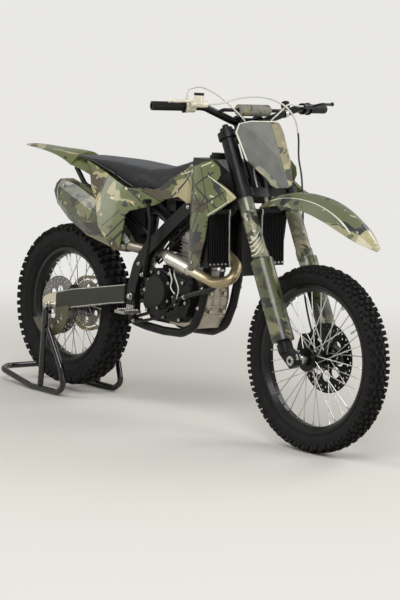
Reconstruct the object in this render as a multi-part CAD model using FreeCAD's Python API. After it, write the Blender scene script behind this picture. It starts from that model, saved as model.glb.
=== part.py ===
import FreeCAD, Part
import math
import os

# Motocross motorcycle standing on its rear paddock stand.
# Millimetres. X runs forward, Y to the rider's left, Z up from the ground.
# The model is laid out from the point below the rear axle and moved to its
# bounding box's bottom centre when it is saved.

V = FreeCAD.Vector

# Stance
WHEELBASE = 1475.0
REAR_OVERHANG = 349.0
STAND_LIFT = 24.0

# Tyres and rims
FRONT_TYRE_R = 346.0
FRONT_TYRE_W = 90.0
FRONT_RIM_R = 275.0
FRONT_RIM_W = 50.0
REAR_TYRE_R = 336.0
REAR_TYRE_W = 118.0
REAR_RIM_R = 237.0
REAR_RIM_W = 64.0
RIM_DEPTH = 26.0
RIM_WALL = 5.0
BEAD_DEPTH = 9.0
KNOB_HEIGHT = 13.0
KNOB_ROOT = 4.0
KNOB_SHARE = 0.33
SHOULDER_DROP = 9.0
FRONT_KNOB_ROWS = 36
REAR_KNOB_ROWS = 32
SPOKE_COUNT = 36
SPOKE_R = 2.0

# Axles, hubs and brakes
FRONT_AXLE_R = 12.0
FRONT_AXLE_BORE_R = 8.0
REAR_AXLE_R = 12.5
FRONT_FLANGE_R = 36.0
REAR_FLANGE_R = 48.0
FLANGE_T = 5.0
FRONT_HUB_HALF = 62.0
REAR_HUB_HALF = 80.0
FRONT_SEAT_R = 44.0
FRONT_FLANGE_Y = 30.0
FRONT_BARREL_R = 26.0
REAR_SEAT_R = 54.0
REAR_FLANGE_Y = 34.0
REAR_BARREL_R = 32.0
HUB_SEAT_T = 6.0
DISC_RING_W = 32.0
CALIPER_OUT = 32.0
FRONT_DISC_R = 130.0
REAR_DISC_R = 120.0
DISC_T = 4.0
FRONT_DISC_Y = 54.0
REAR_DISC_Y = 70.0
SPROCKET_R = 98.0
SPROCKET_T = 6.0
SPROCKET_TEETH = 48
FRONT_SPROCKET_R = 28.0
FRONT_SPROCKET_X = 600.0
FRONT_SPROCKET_Z = 470.0
CHAIN_Y = 73.0
CHAIN_W = 14.0
CHAIN_H = 15.0
CHAIN_GAP = 5.0
CHAIN_PITCH = 15.875
CHAIN_WAIST = 2.5

# Steering
RAKE_DEG = 27.0
AXLE_LEAD = 27.0
CLAMP_OFFSET = 22.0
FORK_HALF = 112.0
FORK_TUBE_R = 29.0
FORK_SLIDER_R = 24.0
FORK_TOP_S = 927.0
LOWER_CLAMP_S = 663.0
UPPER_CLAMP_S = 898.0
LOWER_CLAMP_T = 36.0
UPPER_CLAMP_T = 26.0
CLAMP_WALL = 8.0
LUG_HALF = 15.0
GUARD_R = 42.0
GUARD_FOOT_S = 84.0
GUARD_TOP_S = 400.0
PLATE_N = 92.0
PLATE_FOOT_S = 650.0
PLATE_FLAT = 64.0
PLATE_SWEEP = 38.0
STEM_R = 14.0
HEAD_TUBE_R = 32.0
BAR_HALF = 435.0
BAR_R = 14.0
BAR_BORE_R = 9.0
BAR_BORE_LENGTH = 120.0
BAR_CLAMP_N = 10.0
BAR_CLAMP_S = 952.0
BAR_STRAIGHT = 200.0
BAR_BEND_Y = BAR_HALF - BAR_STRAIGHT
BAR_BEND_N = 35.0
BAR_BEND_RISE = 42.0
BAR_SWEEP = 19.5
BAR_RISE = 66.6
BAR_FLAT = 75.0
PAD_R = 24.0
PAD_HALF = 78.0
CROSSBAR_R = 7.0
CROSSBAR_N = 52.0
CROSSBAR_RISE = 28.0
GRIP_R = 17.0
GRIP_LENGTH = 130.0
CONTROL_AHEAD = V(0.94, 0, 0.34)
CONTROL_REACH = 18.0
BARREL_END = 70.0
LEVER_REACH = 30.0
FERRULE_RISE = 34.0
CABLE_R = 3.0
HOSE_R = 3.5
FITTING_Y = 74.0
FITTING_R = 115.0
FITTING_DEG = 149.0

# Frame, swingarm and stand
PIVOT_X = 530.0
PIVOT_Z = 463.0
PIVOT_R = 20.0
PIVOT_BOLT_R = 10.0
BOLT_HALF = 128.0
SPAR_FOOT_Z = 414.0
AXLE_HALF = 134.0
AXLE_NUT_R = 19.0
HEAD_GAP = 0.5
SPAR_IN = 92.0
SPAR_T = 26.0
SPAR_H = 50.0
CRADLE_Y = 80.0
CRADLE_R = 17.0
SUBFRAME_R = 10.0
SUBFRAME_END_Z = 938.0
ARM_IN = 90.0
ARM_T = 30.0
ARM_EDGE_R = 5.0
STAND_TUBE_R = 12.5
STAND_Y = 150.0
HOOK_R = 8.0

# Engine, exhaust and cooling
CASE_LEFT = 98.0
CASE_RIGHT = 112.0
CASE_EDGE_R = 8.0
CASE_BOLTS_RIGHT = (
    (624, 422), (726, 408), (822, 408), (854, 477),
    (832, 553), (750, 578), (642, 574), (606, 500),
)
CASE_BOLTS_LEFT = ((680, 418), (808, 418), (842, 470), (838, 545), (680, 556))
PUMP_X = 806.0
PUMP_Z = 484.0
PUMP_OUT = V(0.94, 0, 0.342)
PUMP_OUTLET_Y = 16.0
PUMP_OUTLET_L = 46.0
CYLINDER_TILT = 6.0
FIN_COUNT = 6
FIN_PITCH = 15.0
PIPE_R = 20.0
SPIGOT_X = 872.0
BOOT_R = 30.0
RADIATOR_T = 38.0
RADIATOR_IN = 80.0
RADIATOR_W = 112.0
RADIATOR_H = 216.0
RADIATOR_TILT = 4.0
LOUVRE_COUNT = 12
LOUVRE_DEPTH = 12.0
LOUVRE_TURN = 20.0

# Footpegs
PEG_TOP = 416.0
TOOTH_COUNT = 6

# Bodywork
PANEL_T = 4.0
SHROUD_HALF = 202.0
SHROUD_BULGE = 2.6
SEAT_HALF = 105.0
TANK_HALF = 95.0
FENDER_T = 4.0
RIDGE_RISE = 0.08
STEP_T = 2.2

# Clearances
RUN_GAP = 0.08
SEAT_GAP = 0.3
PAD_GAP = 2.0
CORD_GAP = 0.6

FRONT_AXLE = V(WHEELBASE, 0, FRONT_TYRE_R)
REAR_AXLE = V(0, 0, REAR_TYRE_R + STAND_LIFT)
CENTRE_X = (WHEELBASE + FRONT_TYRE_R - REAR_OVERHANG) / 2.0
SUBFRAME_Y = SPAR_IN - SUBFRAME_R - SEAT_GAP


def face(points):
    """A flat face through the given corners."""
    return Part.Face(Part.makePolygon(points + [points[0]]))


def side_plate(outline, y_from, y_to):
    """A side-view outline of (x, z) corners, extruded from y_from to y_to."""
    plate = face([V(x, y_from, z) for x, z in outline])
    return plate.extrude(V(0, y_to - y_from, 0))


def smooth_plate(edges, y_from, y_to):
    """A side-view outline given as runs: two points make a line, more make a curve."""
    parts = []
    for run in edges:
        points = [V(x, y_from, z) for x, z in run]
        if len(points) == 2:
            parts.append(Part.LineSegment(points[0], points[1]).toShape())
        else:
            curve = Part.BSplineCurve()
            curve.interpolate(points)
            parts.append(curve.toShape())
    return Part.Face(Part.Wire(parts)).extrude(V(0, y_to - y_from, 0))


def rod(start, end, radius):
    """A round bar between two points."""
    run = end - start
    return Part.makeCylinder(radius, run.Length, start, run)


def eased(shape, radius, y):
    """The shape with its edges in the plane at y rounded off."""
    edges = [edge for edge in shape.Edges if max(abs(spot.Y - y) for spot in edge.Vertexes) < 0.01]
    return shape.makeFillet(radius, edges)


def revolved(profile, centre):
    """A ring turned about the Y axis through centre from (y, radius) corners."""
    corners = [V(centre.x, centre.y + y, centre.z + r) for y, r in profile]
    return face(corners).revolve(centre, V(0, 1, 0), 360)


def rounded_path(points, radius):
    """A wire of straight runs joined by tangent arcs."""
    edges = []
    start = points[0]
    for before, corner, after in zip(points, points[1:], points[2:]):
        arrive = (corner - before).normalize()
        leave = (after - corner).normalize()
        half_turn = arrive.getAngle(leave) / 2.0
        room = 0.45 * min((corner - before).Length, (after - corner).Length)
        setback = min(radius * math.tan(half_turn), room)
        first = corner - arrive * setback
        last = corner + leave * setback
        inward = (leave - arrive).normalize()
        arc_r = setback / math.tan(half_turn)
        middle = corner + inward * (arc_r / math.cos(half_turn) - arc_r)
        edges.append(Part.LineSegment(start, first).toShape())
        edges.append(Part.Arc(first, middle, last).toShape())
        start = last
    edges.append(Part.LineSegment(start, points[-1]).toShape())
    return Part.Wire(edges)


def tube(points, bend_r, radius):
    """A round bar bent along points: a cylinder for each run, a part torus for each bend."""
    pieces = []
    for edge in rounded_path(points, bend_r).Edges:
        start = edge.valueAt(edge.FirstParameter)
        along = edge.tangentAt(edge.FirstParameter)
        section = Part.Face(Part.Wire(Part.Circle(start, along, radius).toShape()))
        if isinstance(edge.Curve, Part.Line):
            pieces.append(section.extrude(along * edge.Length))
        else:
            turn = math.degrees(edge.LastParameter - edge.FirstParameter)
            pieces.append(section.revolve(edge.Curve.Center, edge.Curve.Axis, turn))
    return fused(pieces)


def side_band(points, bend_r, height, y_from, y_to):
    """A flat-sided bar whose side-view centre line runs through (x, z) points."""
    path = rounded_path([V(x, y_from, z) for x, z in points], bend_r)
    run = (V(points[1][0], 0, points[1][1]) - V(points[0][0], 0, points[0][1])).normalize()
    up = V(-run.z, 0, run.x) * (height / 2.0)
    start = V(points[0][0], y_from, points[0][1])
    over = V(0, y_to - y_from, 0)
    ends = [start - up, start + up, start + up + over, start - up + over]
    shell = Part.BRepOffsetAPI.MakePipeShell(path)
    shell.setBiNormalMode(V(0, 1, 0))
    shell.add(Part.makePolygon(ends + [ends[0]]))
    shell.build()
    shell.makeSolid()
    return Part.Solid(shell.shape())


def mirrored(shape):
    """The same piece on the other side of the bike."""
    return shape.mirror(V(0, 0, 0), V(0, 1, 0))


def flipped(point):
    """The same point on the other side of the bike."""
    return V(point.x, -point.y, point.z)


def both(shape):
    """A left and right pair."""
    return [shape, mirrored(shape)]


def fused(shapes):
    """One solid from pieces that meet."""
    whole = shapes[0].multiFuse(shapes[1:])
    return whole.removeSplitter()


def in_fork(shape):
    """Moves a piece from the fork's own frame (n forward, y, s up the leg) to the bike."""
    foot = fork_point(0, 0, 0)
    lean = FreeCAD.Placement(foot, FreeCAD.Rotation(V(0, 1, 0), -RAKE_DEG))
    shape.Placement = lean.multiply(shape.Placement)
    return shape


def fork_point(n, y, s):
    """A point n ahead of the leg's axis, y to the left and s up from the axle."""
    rake = math.radians(RAKE_DEG)
    ahead = V(math.cos(rake), 0, math.sin(rake))
    up = V(-math.sin(rake), 0, math.cos(rake))
    return FRONT_AXLE + ahead * (n - AXLE_LEAD) + up * s + V(0, y, 0)


def save(name, shapes):
    """Writes one node, moved to the bike's bottom centre."""
    body = shapes[0] if len(shapes) == 1 else Part.makeCompound(shapes)
    body = body.copy()
    body.translate(V(-CENTRE_X, 0, 0))
    body.exportStep("parts/" + name + ".step")


# Wheels


def spun(centre, y, r, turn):
    """A point r out from the Y axis through centre, at a turn from the forward direction."""
    return centre + V(r * math.cos(turn), y, r * math.sin(turn))


def facet_ring(profile, centre, facets, first):
    """A ring of flat facets about the Y axis from (y, radius) corners."""
    faces = []
    step = 2.0 * math.pi / facets
    for index in range(facets):
        low = first + index * step
        high = low + step
        for (y, r), (next_y, next_r) in zip(profile, profile[1:] + profile[:1]):
            faces.append(face([
                spun(centre, y, r, low),
                spun(centre, next_y, next_r, low),
                spun(centre, next_y, next_r, high),
                spun(centre, y, r, high),
            ]))
    shell = Part.makeShell(faces)
    shell.sewShape()
    return Part.makeSolid(shell)


def knob(centre, section, length, turn):
    """A tread block: its (y, radius) section drawn out along the tyre at a turn."""
    ahead = V(-math.sin(turn), 0, math.cos(turn)) * (length / 2.0)
    start = face([spun(centre, y, r, turn) - ahead for y, r in section])
    return start.extrude(ahead * 2.0)


def tyre(axle, outer_r, width, rim_r, rim_w, rows):
    """A faceted tyre, open at the rim, with staggered rows of middle and shoulder knobs."""
    half = width / 2.0
    corner = 1.0 / math.cos(math.pi / rows)
    bead_r = (rim_r - BEAD_DEPTH + SEAT_GAP) * corner
    bead_y = rim_w / 2.0 - RIM_WALL - SEAT_GAP
    flange_r = (rim_r + SEAT_GAP) * corner
    floor_r = outer_r - KNOB_HEIGHT
    edge_r = floor_r - SHOULDER_DROP
    root_r = edge_r - KNOB_ROOT
    side = [
        (bead_y, bead_r),
        (bead_y, flange_r),
        (half * 0.86, flange_r + 0.35 * (edge_r - flange_r)),
        (half * 0.88, edge_r),
        (half * 0.42, floor_r),
    ]
    profile = side + [(-y, r) for y, r in reversed(side)]
    pitch = 2.0 * math.pi / rows
    carcass = facet_ring(profile, axle, rows, -0.27 * pitch)
    length = KNOB_SHARE * pitch * outer_r
    middle = [
        (-half * 0.3, floor_r - KNOB_ROOT),
        (half * 0.3, floor_r - KNOB_ROOT),
        (half * 0.27, outer_r),
        (-half * 0.27, outer_r),
    ]
    shoulder = [
        (half * 0.5, root_r),
        (half * 0.81, root_r),
        (half, outer_r - SHOULDER_DROP),
        (half * 0.54, outer_r - 1.5),
    ]
    knobs = []
    for row in range(rows):
        knobs.append(knob(axle, middle, length, row * pitch))
        knobs += both(knob(axle, shoulder, length, (row + 0.5) * pitch))
    return fused([carcass] + knobs)


def rim(axle, rim_r, rim_w):
    """A spoked wheel's rim with its two flanges and sunken seat."""
    half = rim_w / 2.0
    seat_r = rim_r - BEAD_DEPTH
    side = [
        (half * 0.45, rim_r - RIM_DEPTH),
        (half, rim_r - 0.45 * RIM_DEPTH),
        (half, rim_r),
        (half - RIM_WALL, rim_r),
        (half - RIM_WALL, seat_r),
    ]
    profile = side + [(-y, r) for y, r in reversed(side)]
    return revolved(profile, axle)


def spokes(axle, flange_r, flange_y, rim_r):
    """Crossed spokes from both hub flanges to the rim's well."""
    made = []
    step = 360.0 / SPOKE_COUNT
    seat_r = rim_r - RIM_DEPTH - SEAT_GAP
    for index in range(SPOKE_COUNT):
        side = 1 if index % 2 else -1
        lean = 1 if index % 4 < 2 else -1
        out = FLANGE_T / 2.0 + SPOKE_R + (1.8 if lean > 0 else SEAT_GAP)
        y_hub = side * flange_y + lean * side * out
        rim_turn = math.radians(index * step)
        hub_turn = rim_turn + math.radians(lean * 3.5 * step)
        hub_r = flange_r - 2.0 * SPOKE_R
        inner = axle + V(hub_r * math.cos(hub_turn), y_hub, hub_r * math.sin(hub_turn))
        outer = axle + V(seat_r * math.cos(rim_turn), side * 3.0, seat_r * math.sin(rim_turn))
        made.append(rod(inner, outer, SPOKE_R))
    return made


def hub(axle, axle_r, half, seat_y, seat_r, flange_r, flange_y, barrel_r):
    """A bored hub with spoke flanges and a seat at each end for a disc or sprocket."""
    near = flange_y - FLANGE_T / 2.0
    far = flange_y + FLANGE_T / 2.0
    end_r = axle_r + 10.0
    bore_r = axle_r + RUN_GAP
    side = [
        (half, bore_r),
        (half, end_r),
        (seat_y, end_r),
        (seat_y, seat_r),
        (seat_y - HUB_SEAT_T, seat_r),
        (seat_y - HUB_SEAT_T, barrel_r),
        (far, barrel_r),
        (far, flange_r),
        (near, flange_r),
        (near, barrel_r - 4.0),
    ]
    profile = side + [(-y, r) for y, r in reversed(side)]
    return revolved(profile, axle)


def disc(axle, outer_r, centre_r, y_from, windows):
    """A brake disc: a ring on a spider that seats on the hub's end."""
    toward = 1 if y_from > 0 else -1
    start = axle + V(0, y_from, 0)
    across = V(0, toward, 0)
    plate = Part.makeCylinder(outer_r, DISC_T, start, across)
    cuts = [Part.makeCylinder(centre_r + SEAT_GAP, DISC_T, start, across)]
    inner = outer_r - DISC_RING_W
    middle_r = (inner + centre_r) / 2.0 + 6.0
    window_r = min(inner - middle_r, middle_r * math.sin(math.pi / windows) - 4.0)
    for index in range(windows):
        turn = 2.0 * math.pi * index / windows
        spot = start + V(middle_r * math.cos(turn), 0, middle_r * math.sin(turn))
        cuts.append(Part.makeCylinder(window_r, DISC_T, spot, across))
    return plate.cut(cuts)


def sprocket(axle, tip_r, teeth, bore_r, y_from):
    """A toothed wheel with round windows between its arms."""
    root_r = tip_r - 7.0
    corners = []
    for index in range(teeth):
        for share, r in ((0.0, root_r), (0.3, root_r), (0.5, tip_r), (0.8, tip_r)):
            turn = 2.0 * math.pi * (index + share) / teeth
            corners.append(axle + V(r * math.cos(turn), y_from, r * math.sin(turn)))
    plate = face(corners).extrude(V(0, SPROCKET_T, 0))
    start = axle + V(0, y_from, 0)
    cuts = [Part.makeCylinder(bore_r, SPROCKET_T, start, V(0, 1, 0))]
    middle_r = (root_r + REAR_FLANGE_R) / 2.0
    for index in range(6):
        turn = math.pi * (index + 0.5) / 3.0
        spot = start + V(middle_r * math.cos(turn), 0, middle_r * math.sin(turn))
        cuts.append(Part.makeCylinder(13.0, SPROCKET_T, spot, V(0, 1, 0)))
    return plate.cut(cuts)


def build_wheels():
    """Both wheels, each node turning with its axle's hub."""
    save("front_tyre", [
        tyre(FRONT_AXLE, FRONT_TYRE_R, FRONT_TYRE_W, FRONT_RIM_R, FRONT_RIM_W, FRONT_KNOB_ROWS),
    ])
    save("front_rim", [rim(FRONT_AXLE, FRONT_RIM_R, FRONT_RIM_W)])
    save("front_spokes", spokes(FRONT_AXLE, FRONT_FLANGE_R, 30.0, FRONT_RIM_R))
    seat_y = FRONT_DISC_Y - SEAT_GAP
    save("front_hub", [
        hub(
            FRONT_AXLE, FRONT_AXLE_R, FRONT_HUB_HALF, seat_y, FRONT_SEAT_R, FRONT_FLANGE_R,
            FRONT_FLANGE_Y, FRONT_BARREL_R,
        ),
    ])
    save("front_disc", [disc(FRONT_AXLE, FRONT_DISC_R, FRONT_AXLE_R + 10.0, FRONT_DISC_Y, 8)])
    save("rear_tyre", [tyre(REAR_AXLE, REAR_TYRE_R, REAR_TYRE_W, REAR_RIM_R, REAR_RIM_W, REAR_KNOB_ROWS)])
    save("rear_rim", [rim(REAR_AXLE, REAR_RIM_R, REAR_RIM_W)])
    save("rear_spokes", spokes(REAR_AXLE, REAR_FLANGE_R - 2.0, 34.0, REAR_RIM_R))
    seat_y = REAR_DISC_Y - SEAT_GAP
    save("rear_hub", [
        hub(
            REAR_AXLE, REAR_AXLE_R, REAR_HUB_HALF, seat_y, REAR_SEAT_R, REAR_FLANGE_R - 2.0,
            REAR_FLANGE_Y, REAR_BARREL_R,
        ),
    ])
    save("rear_disc", [disc(REAR_AXLE, REAR_DISC_R, REAR_AXLE_R + 10.0, -REAR_DISC_Y, 8)])
    bore_r = REAR_AXLE_R + 10.0 + SEAT_GAP
    save("rear_sprocket", [sprocket(REAR_AXLE, SPROCKET_R, SPROCKET_TEETH, bore_r, REAR_DISC_Y)])


# Front end, drawn in the fork's own frame where it follows the legs


def fork_leg():
    """The left leg: clamped outer tube, inner slider and axle lug."""
    corners = [
        (0, 40.0),
        (FORK_SLIDER_R, 40.0),
        (FORK_SLIDER_R, 395.0),
        (FORK_TUBE_R + 3.0, 400.0),
        (FORK_TUBE_R + 3.0, 430.0),
        (FORK_TUBE_R, 440.0),
        (FORK_TUBE_R, FORK_TOP_S - 12.0),
        (FORK_TUBE_R - 5.0, FORK_TOP_S - 10.0),
        (FORK_TUBE_R - 5.0, FORK_TOP_S),
        (0, FORK_TOP_S),
    ]
    tube_face = face([V(n, 0, s) for n, s in corners])
    leg = tube_face.revolve(V(0, 0, 0), V(0, 0, 1), 360)
    lug = [(-26, 78), (-26, 46), (8, -24), (44, -24), (52, -8), (52, 14), (26, 46), (26, 78)]
    block = side_plate(lug, -LUG_HALF, LUG_HALF)
    leg = fused([leg, block])
    bore = rod(V(AXLE_LEAD, -40, 0), V(AXLE_LEAD, 40, 0), FRONT_AXLE_R + SEAT_GAP)
    leg = leg.cut(bore)
    leg.translate(V(0, FORK_HALF, 0))
    return leg


def caliper_ear():
    """The bracket on the left leg's lug that carries the front caliper."""
    ear_in = FRONT_DISC_Y + DISC_T / 2.0 + CALIPER_OUT + SEAT_GAP
    ear = [(-20, 52), (-92, -4), (-104, 44), (-70, 92), (-20, 76)]
    return side_plate(ear, ear_in, FORK_HALF - LUG_HALF + 6.0)


def fork_guard():
    """The left guard: a curved shield in front of the slider, seated round its lug."""
    centre = V(0, 0, 0)
    outer = Part.makeCylinder(GUARD_R, GUARD_TOP_S - GUARD_FOOT_S, centre, V(0, 0, 1))
    inner = Part.makeCylinder(GUARD_R - PANEL_T, GUARD_TOP_S - GUARD_FOOT_S, V(0, 0, PANEL_T), V(0, 0, 1))
    collar = Part.makeCylinder(FORK_SLIDER_R + SEAT_GAP, PANEL_T, centre, V(0, 0, 1))
    shell = outer.cut([inner, collar])
    keep = [
        V(0, -GUARD_R, 0),
        V(2 * GUARD_R, -GUARD_R, 0),
        V(2 * GUARD_R, 2 * GUARD_R, 0),
        V(-GUARD_R * 0.6, 2 * GUARD_R, 0),
        V(-GUARD_R * 0.6, 0, 0),
    ]
    shell = shell.common(face(keep).extrude(V(0, 0, GUARD_TOP_S)))
    shell.translate(V(0, FORK_HALF, GUARD_FOOT_S))
    return in_fork(shell)


def clamp(centre_s, thick):
    """A fork clamp: a boss round each leg, a bridge between and the stem's eye."""
    boss_r = FORK_TUBE_R + CLAMP_WALL
    low = centre_s - thick / 2.0
    up = V(0, 0, 1)
    eye_r = STEM_R + 2.0 * CLAMP_WALL
    pieces = [Part.makeCylinder(boss_r, thick, V(0, y, low), up) for y in (FORK_HALF, -FORK_HALF)]
    pieces.append(Part.makeCylinder(eye_r, thick, V(-CLAMP_OFFSET, 0, low), up))
    web = [
        V(-CLAMP_OFFSET - eye_r, -10, low),
        V(-20, -FORK_HALF, low),
        V(26, -FORK_HALF, low),
        V(16, 0, low),
        V(26, FORK_HALF, low),
        V(-20, FORK_HALF, low),
        V(-CLAMP_OFFSET - eye_r, 10, low),
    ]
    pieces.append(face(web).extrude(V(0, 0, thick)))
    body = fused(pieces)
    bores = [
        Part.makeCylinder(FORK_TUBE_R + SEAT_GAP, thick, V(0, y, low), up)
        for y in (FORK_HALF, -FORK_HALF)
    ]
    return body.cut(bores)


def build_fork():
    """Clamps, stem, legs, guards and axle of the steered front end."""
    lower = clamp(LOWER_CLAMP_S, LOWER_CLAMP_T)
    stem_top = UPPER_CLAMP_S - UPPER_CLAMP_T / 2.0 - SEAT_GAP
    stem_foot = V(-CLAMP_OFFSET, 0, LOWER_CLAMP_S)
    stem = Part.makeCylinder(STEM_R, stem_top - LOWER_CLAMP_S, stem_foot, V(0, 0, 1))
    save("lower_clamp", [in_fork(fused([lower, stem]))])
    upper = clamp(UPPER_CLAMP_S, UPPER_CLAMP_T)
    upper_top = UPPER_CLAMP_S + UPPER_CLAMP_T / 2.0
    posts = []
    for y in (-48.0, 48.0):
        post = Part.makeBox(36.0, 26.0, BAR_CLAMP_S - upper_top, V(BAR_CLAMP_N - 18.0, y - 13.0, upper_top))
        head = rod(
            V(BAR_CLAMP_N, y - 13.0, BAR_CLAMP_S),
            V(BAR_CLAMP_N, y + 13.0, BAR_CLAMP_S),
            BAR_R + CLAMP_WALL,
        )
        posts += [post, head]
    grip = rod(V(BAR_CLAMP_N, -70, BAR_CLAMP_S), V(BAR_CLAMP_N, 70, BAR_CLAMP_S), BAR_R + SEAT_GAP)
    save("upper_clamp", [in_fork(fused([upper] + posts).cut(grip))])
    leg = fork_leg()
    save("fork_legs", [in_fork(fused([leg, caliper_ear()])), in_fork(mirrored(leg))])
    save("fork_guards", both(fork_guard()))
    lug_in = FORK_HALF - LUG_HALF
    lug_out = FORK_HALF + LUG_HALF
    axle = rod(FRONT_AXLE + V(0, -lug_out - 8.0, 0), FRONT_AXLE + V(0, lug_out + 8.0, 0), FRONT_AXLE_R)
    spacers = []
    for side in (-1, 1):
        start = FRONT_AXLE + V(0, side * (FRONT_HUB_HALF + 0.5), 0)
        end = FRONT_AXLE + V(0, side * (lug_in - SEAT_GAP), 0)
        spacers.append(rod(start, end, FRONT_AXLE_R + 6.0))
        cap = FRONT_AXLE + V(0, side * (lug_out + SEAT_GAP), 0)
        spacers.append(rod(cap, cap + V(0, side * 6.0, 0), FRONT_AXLE_R + 6.0))
    bore = rod(FRONT_AXLE + V(0, -lug_out - 9.0, 0), FRONT_AXLE + V(0, lug_out + 9.0, 0), FRONT_AXLE_BORE_R)
    save("front_axle", [fused([axle] + spacers).cut(bore)])


def caliper(axle, disc_y, inward, outward, inner_r, outer_r, centre_deg, spread_deg):
    """A caliper: an arc-shaped block that straddles a disc without touching it."""
    toward = 1 if disc_y > 0 else -1
    across = V(0, 1, 0)
    edges = sorted((disc_y - toward * inward, disc_y + toward * outward))
    start = axle + V(0, edges[0], 0)
    width = edges[1] - edges[0]
    block = Part.makeCylinder(outer_r, width, start, across, spread_deg)
    block = block.cut(Part.makeCylinder(inner_r, width, start, across))
    slot_t = DISC_T + 2.0 * PAD_GAP
    slot = Part.makeCylinder(outer_r - 12.0, slot_t, axle + V(0, disc_y - slot_t / 2.0, 0), across)
    block = block.cut(slot)
    block.rotate(axle, across, 90.0 - spread_deg / 2.0 - centre_deg)
    return block


def fender_section(x, half, top_z, edge_z, ridge):
    """A fender's creased section at x: a flat back, bevelled shoulders and the same one wall inside."""
    shape = ((1.0, 0.0), (0.72, 0.62), (0.28, 1.0), (0.0, 1.0 + ridge))
    outer = [V(x, half * across, edge_z + (top_z - edge_z) * rise) for across, rise in shape]
    wall = half - 0.6 * FENDER_T
    inner = [V(x, wall * across, edge_z + (top_z - FENDER_T - edge_z) * rise) for across, rise in shape]
    inner[0] = V(x, wall, edge_z)
    outer += [flipped(point) for point in reversed(outer[:-1])]
    inner += [flipped(point) for point in reversed(inner[:-1])]
    return Part.makePolygon(outer + inner[::-1] + [outer[0]])


def fender_body(x, half, top_z, edge_z, length):
    """The filled section of a fender at x, drawn out along X."""
    points = [
        V(x, half, edge_z),
        V(x, half * 0.72, edge_z + 0.62 * (top_z - edge_z)),
        V(x, half * 0.28, top_z),
    ]
    return face(points + [flipped(point) for point in reversed(points)]).extrude(V(length, 0, 0))


def fender(sections, ridge=0.0):
    """A thin creased guard through its (x, half width, top, edge) sections."""
    return Part.makeLoft([fender_section(*section, ridge) for section in sections], True, False)


def build_front():
    """Fender, number plate, controls and caliper that steer with the fork."""
    guard = fender([
        (WHEELBASE - 303.0, 62.0, 893.0, 862.0),
        (WHEELBASE - 225.0, 72.0, 928.0, 888.0),
        (WHEELBASE - 140.0, 78.0, 943.0, 895.0),
        (WHEELBASE + 21.0, 80.0, 934.0, 875.0),
        (WHEELBASE + 135.0, 72.0, 895.0, 836.0),
        (WHEELBASE + 225.0, 52.0, 838.0, 798.0),
        (WHEELBASE + 270.0, 24.0, 797.0, 778.0),
    ], RIDGE_RISE)
    clamp_foot = LOWER_CLAMP_S - LOWER_CLAMP_T / 2.0 - SEAT_GAP
    bosses = [
        rod(fork_point(10.0, y, clamp_foot), fork_point(10.0, y, clamp_foot - 22.0), 8.0)
        for y in (-16.0, 16.0)
    ]
    save("front_fender", [fused([guard] + bosses)])
    save("number_plate", [number_plate()])
    disc_y = FRONT_DISC_Y + DISC_T / 2.0
    block = caliper(FRONT_AXLE, disc_y, 20.0, CALIPER_OUT, 84.0, FRONT_DISC_R + 16.0, 172.0, 46.0)
    foot, end = hose_fitting()
    save("front_caliper", [fused([block, rod(foot, end, 6.0)])])
    build_bars()
    build_cables()


def number_plate():
    """The folded number plate in front of the fork, with its peg to the upper clamp."""
    outline = [(30, 0), (50, 10), (112, 127), (121, 239), (104, 270)]
    corners = [V(0, y, PLATE_FOOT_S + s) for y, s in outline]
    corners += [V(0, -y, PLATE_FOOT_S + s) for y, s in reversed(outline)]
    blank = face(corners).extrude(V(PLATE_N + 20.0, 0, 0))
    fold = [
        (PLATE_N - PLATE_SWEEP, 125.0), (PLATE_N, PLATE_FLAT),
        (PLATE_N, -PLATE_FLAT), (PLATE_N - PLATE_SWEEP, -125.0),
    ]
    back = [(n - PANEL_T, y) for n, y in reversed(fold)]
    sheet = face([V(n, y, PLATE_FOOT_S) for n, y in fold + back]).extrude(V(0, 0, 272.0))
    peg = rod(V(17.0, 0, UPPER_CLAMP_S), V(PLATE_N - 1.0, 0, UPPER_CLAMP_S), 6.0)
    return in_fork(fused([sheet.common(blank), peg]))


def bar_point(n, y, s):
    """A point n ahead of the bar's clamped middle, y to the left and s above it."""
    return fork_point(BAR_CLAMP_N + n, y, BAR_CLAMP_S + s)


def bar_grip_line(side):
    """The bar's tip and the point where its straight end begins."""
    tip = bar_point(-BAR_SWEEP, side * BAR_HALF, BAR_RISE)
    bend = bar_point(BAR_BEND_N, side * BAR_BEND_Y, BAR_BEND_RISE)
    return tip, (bend - tip).normalize()


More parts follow.
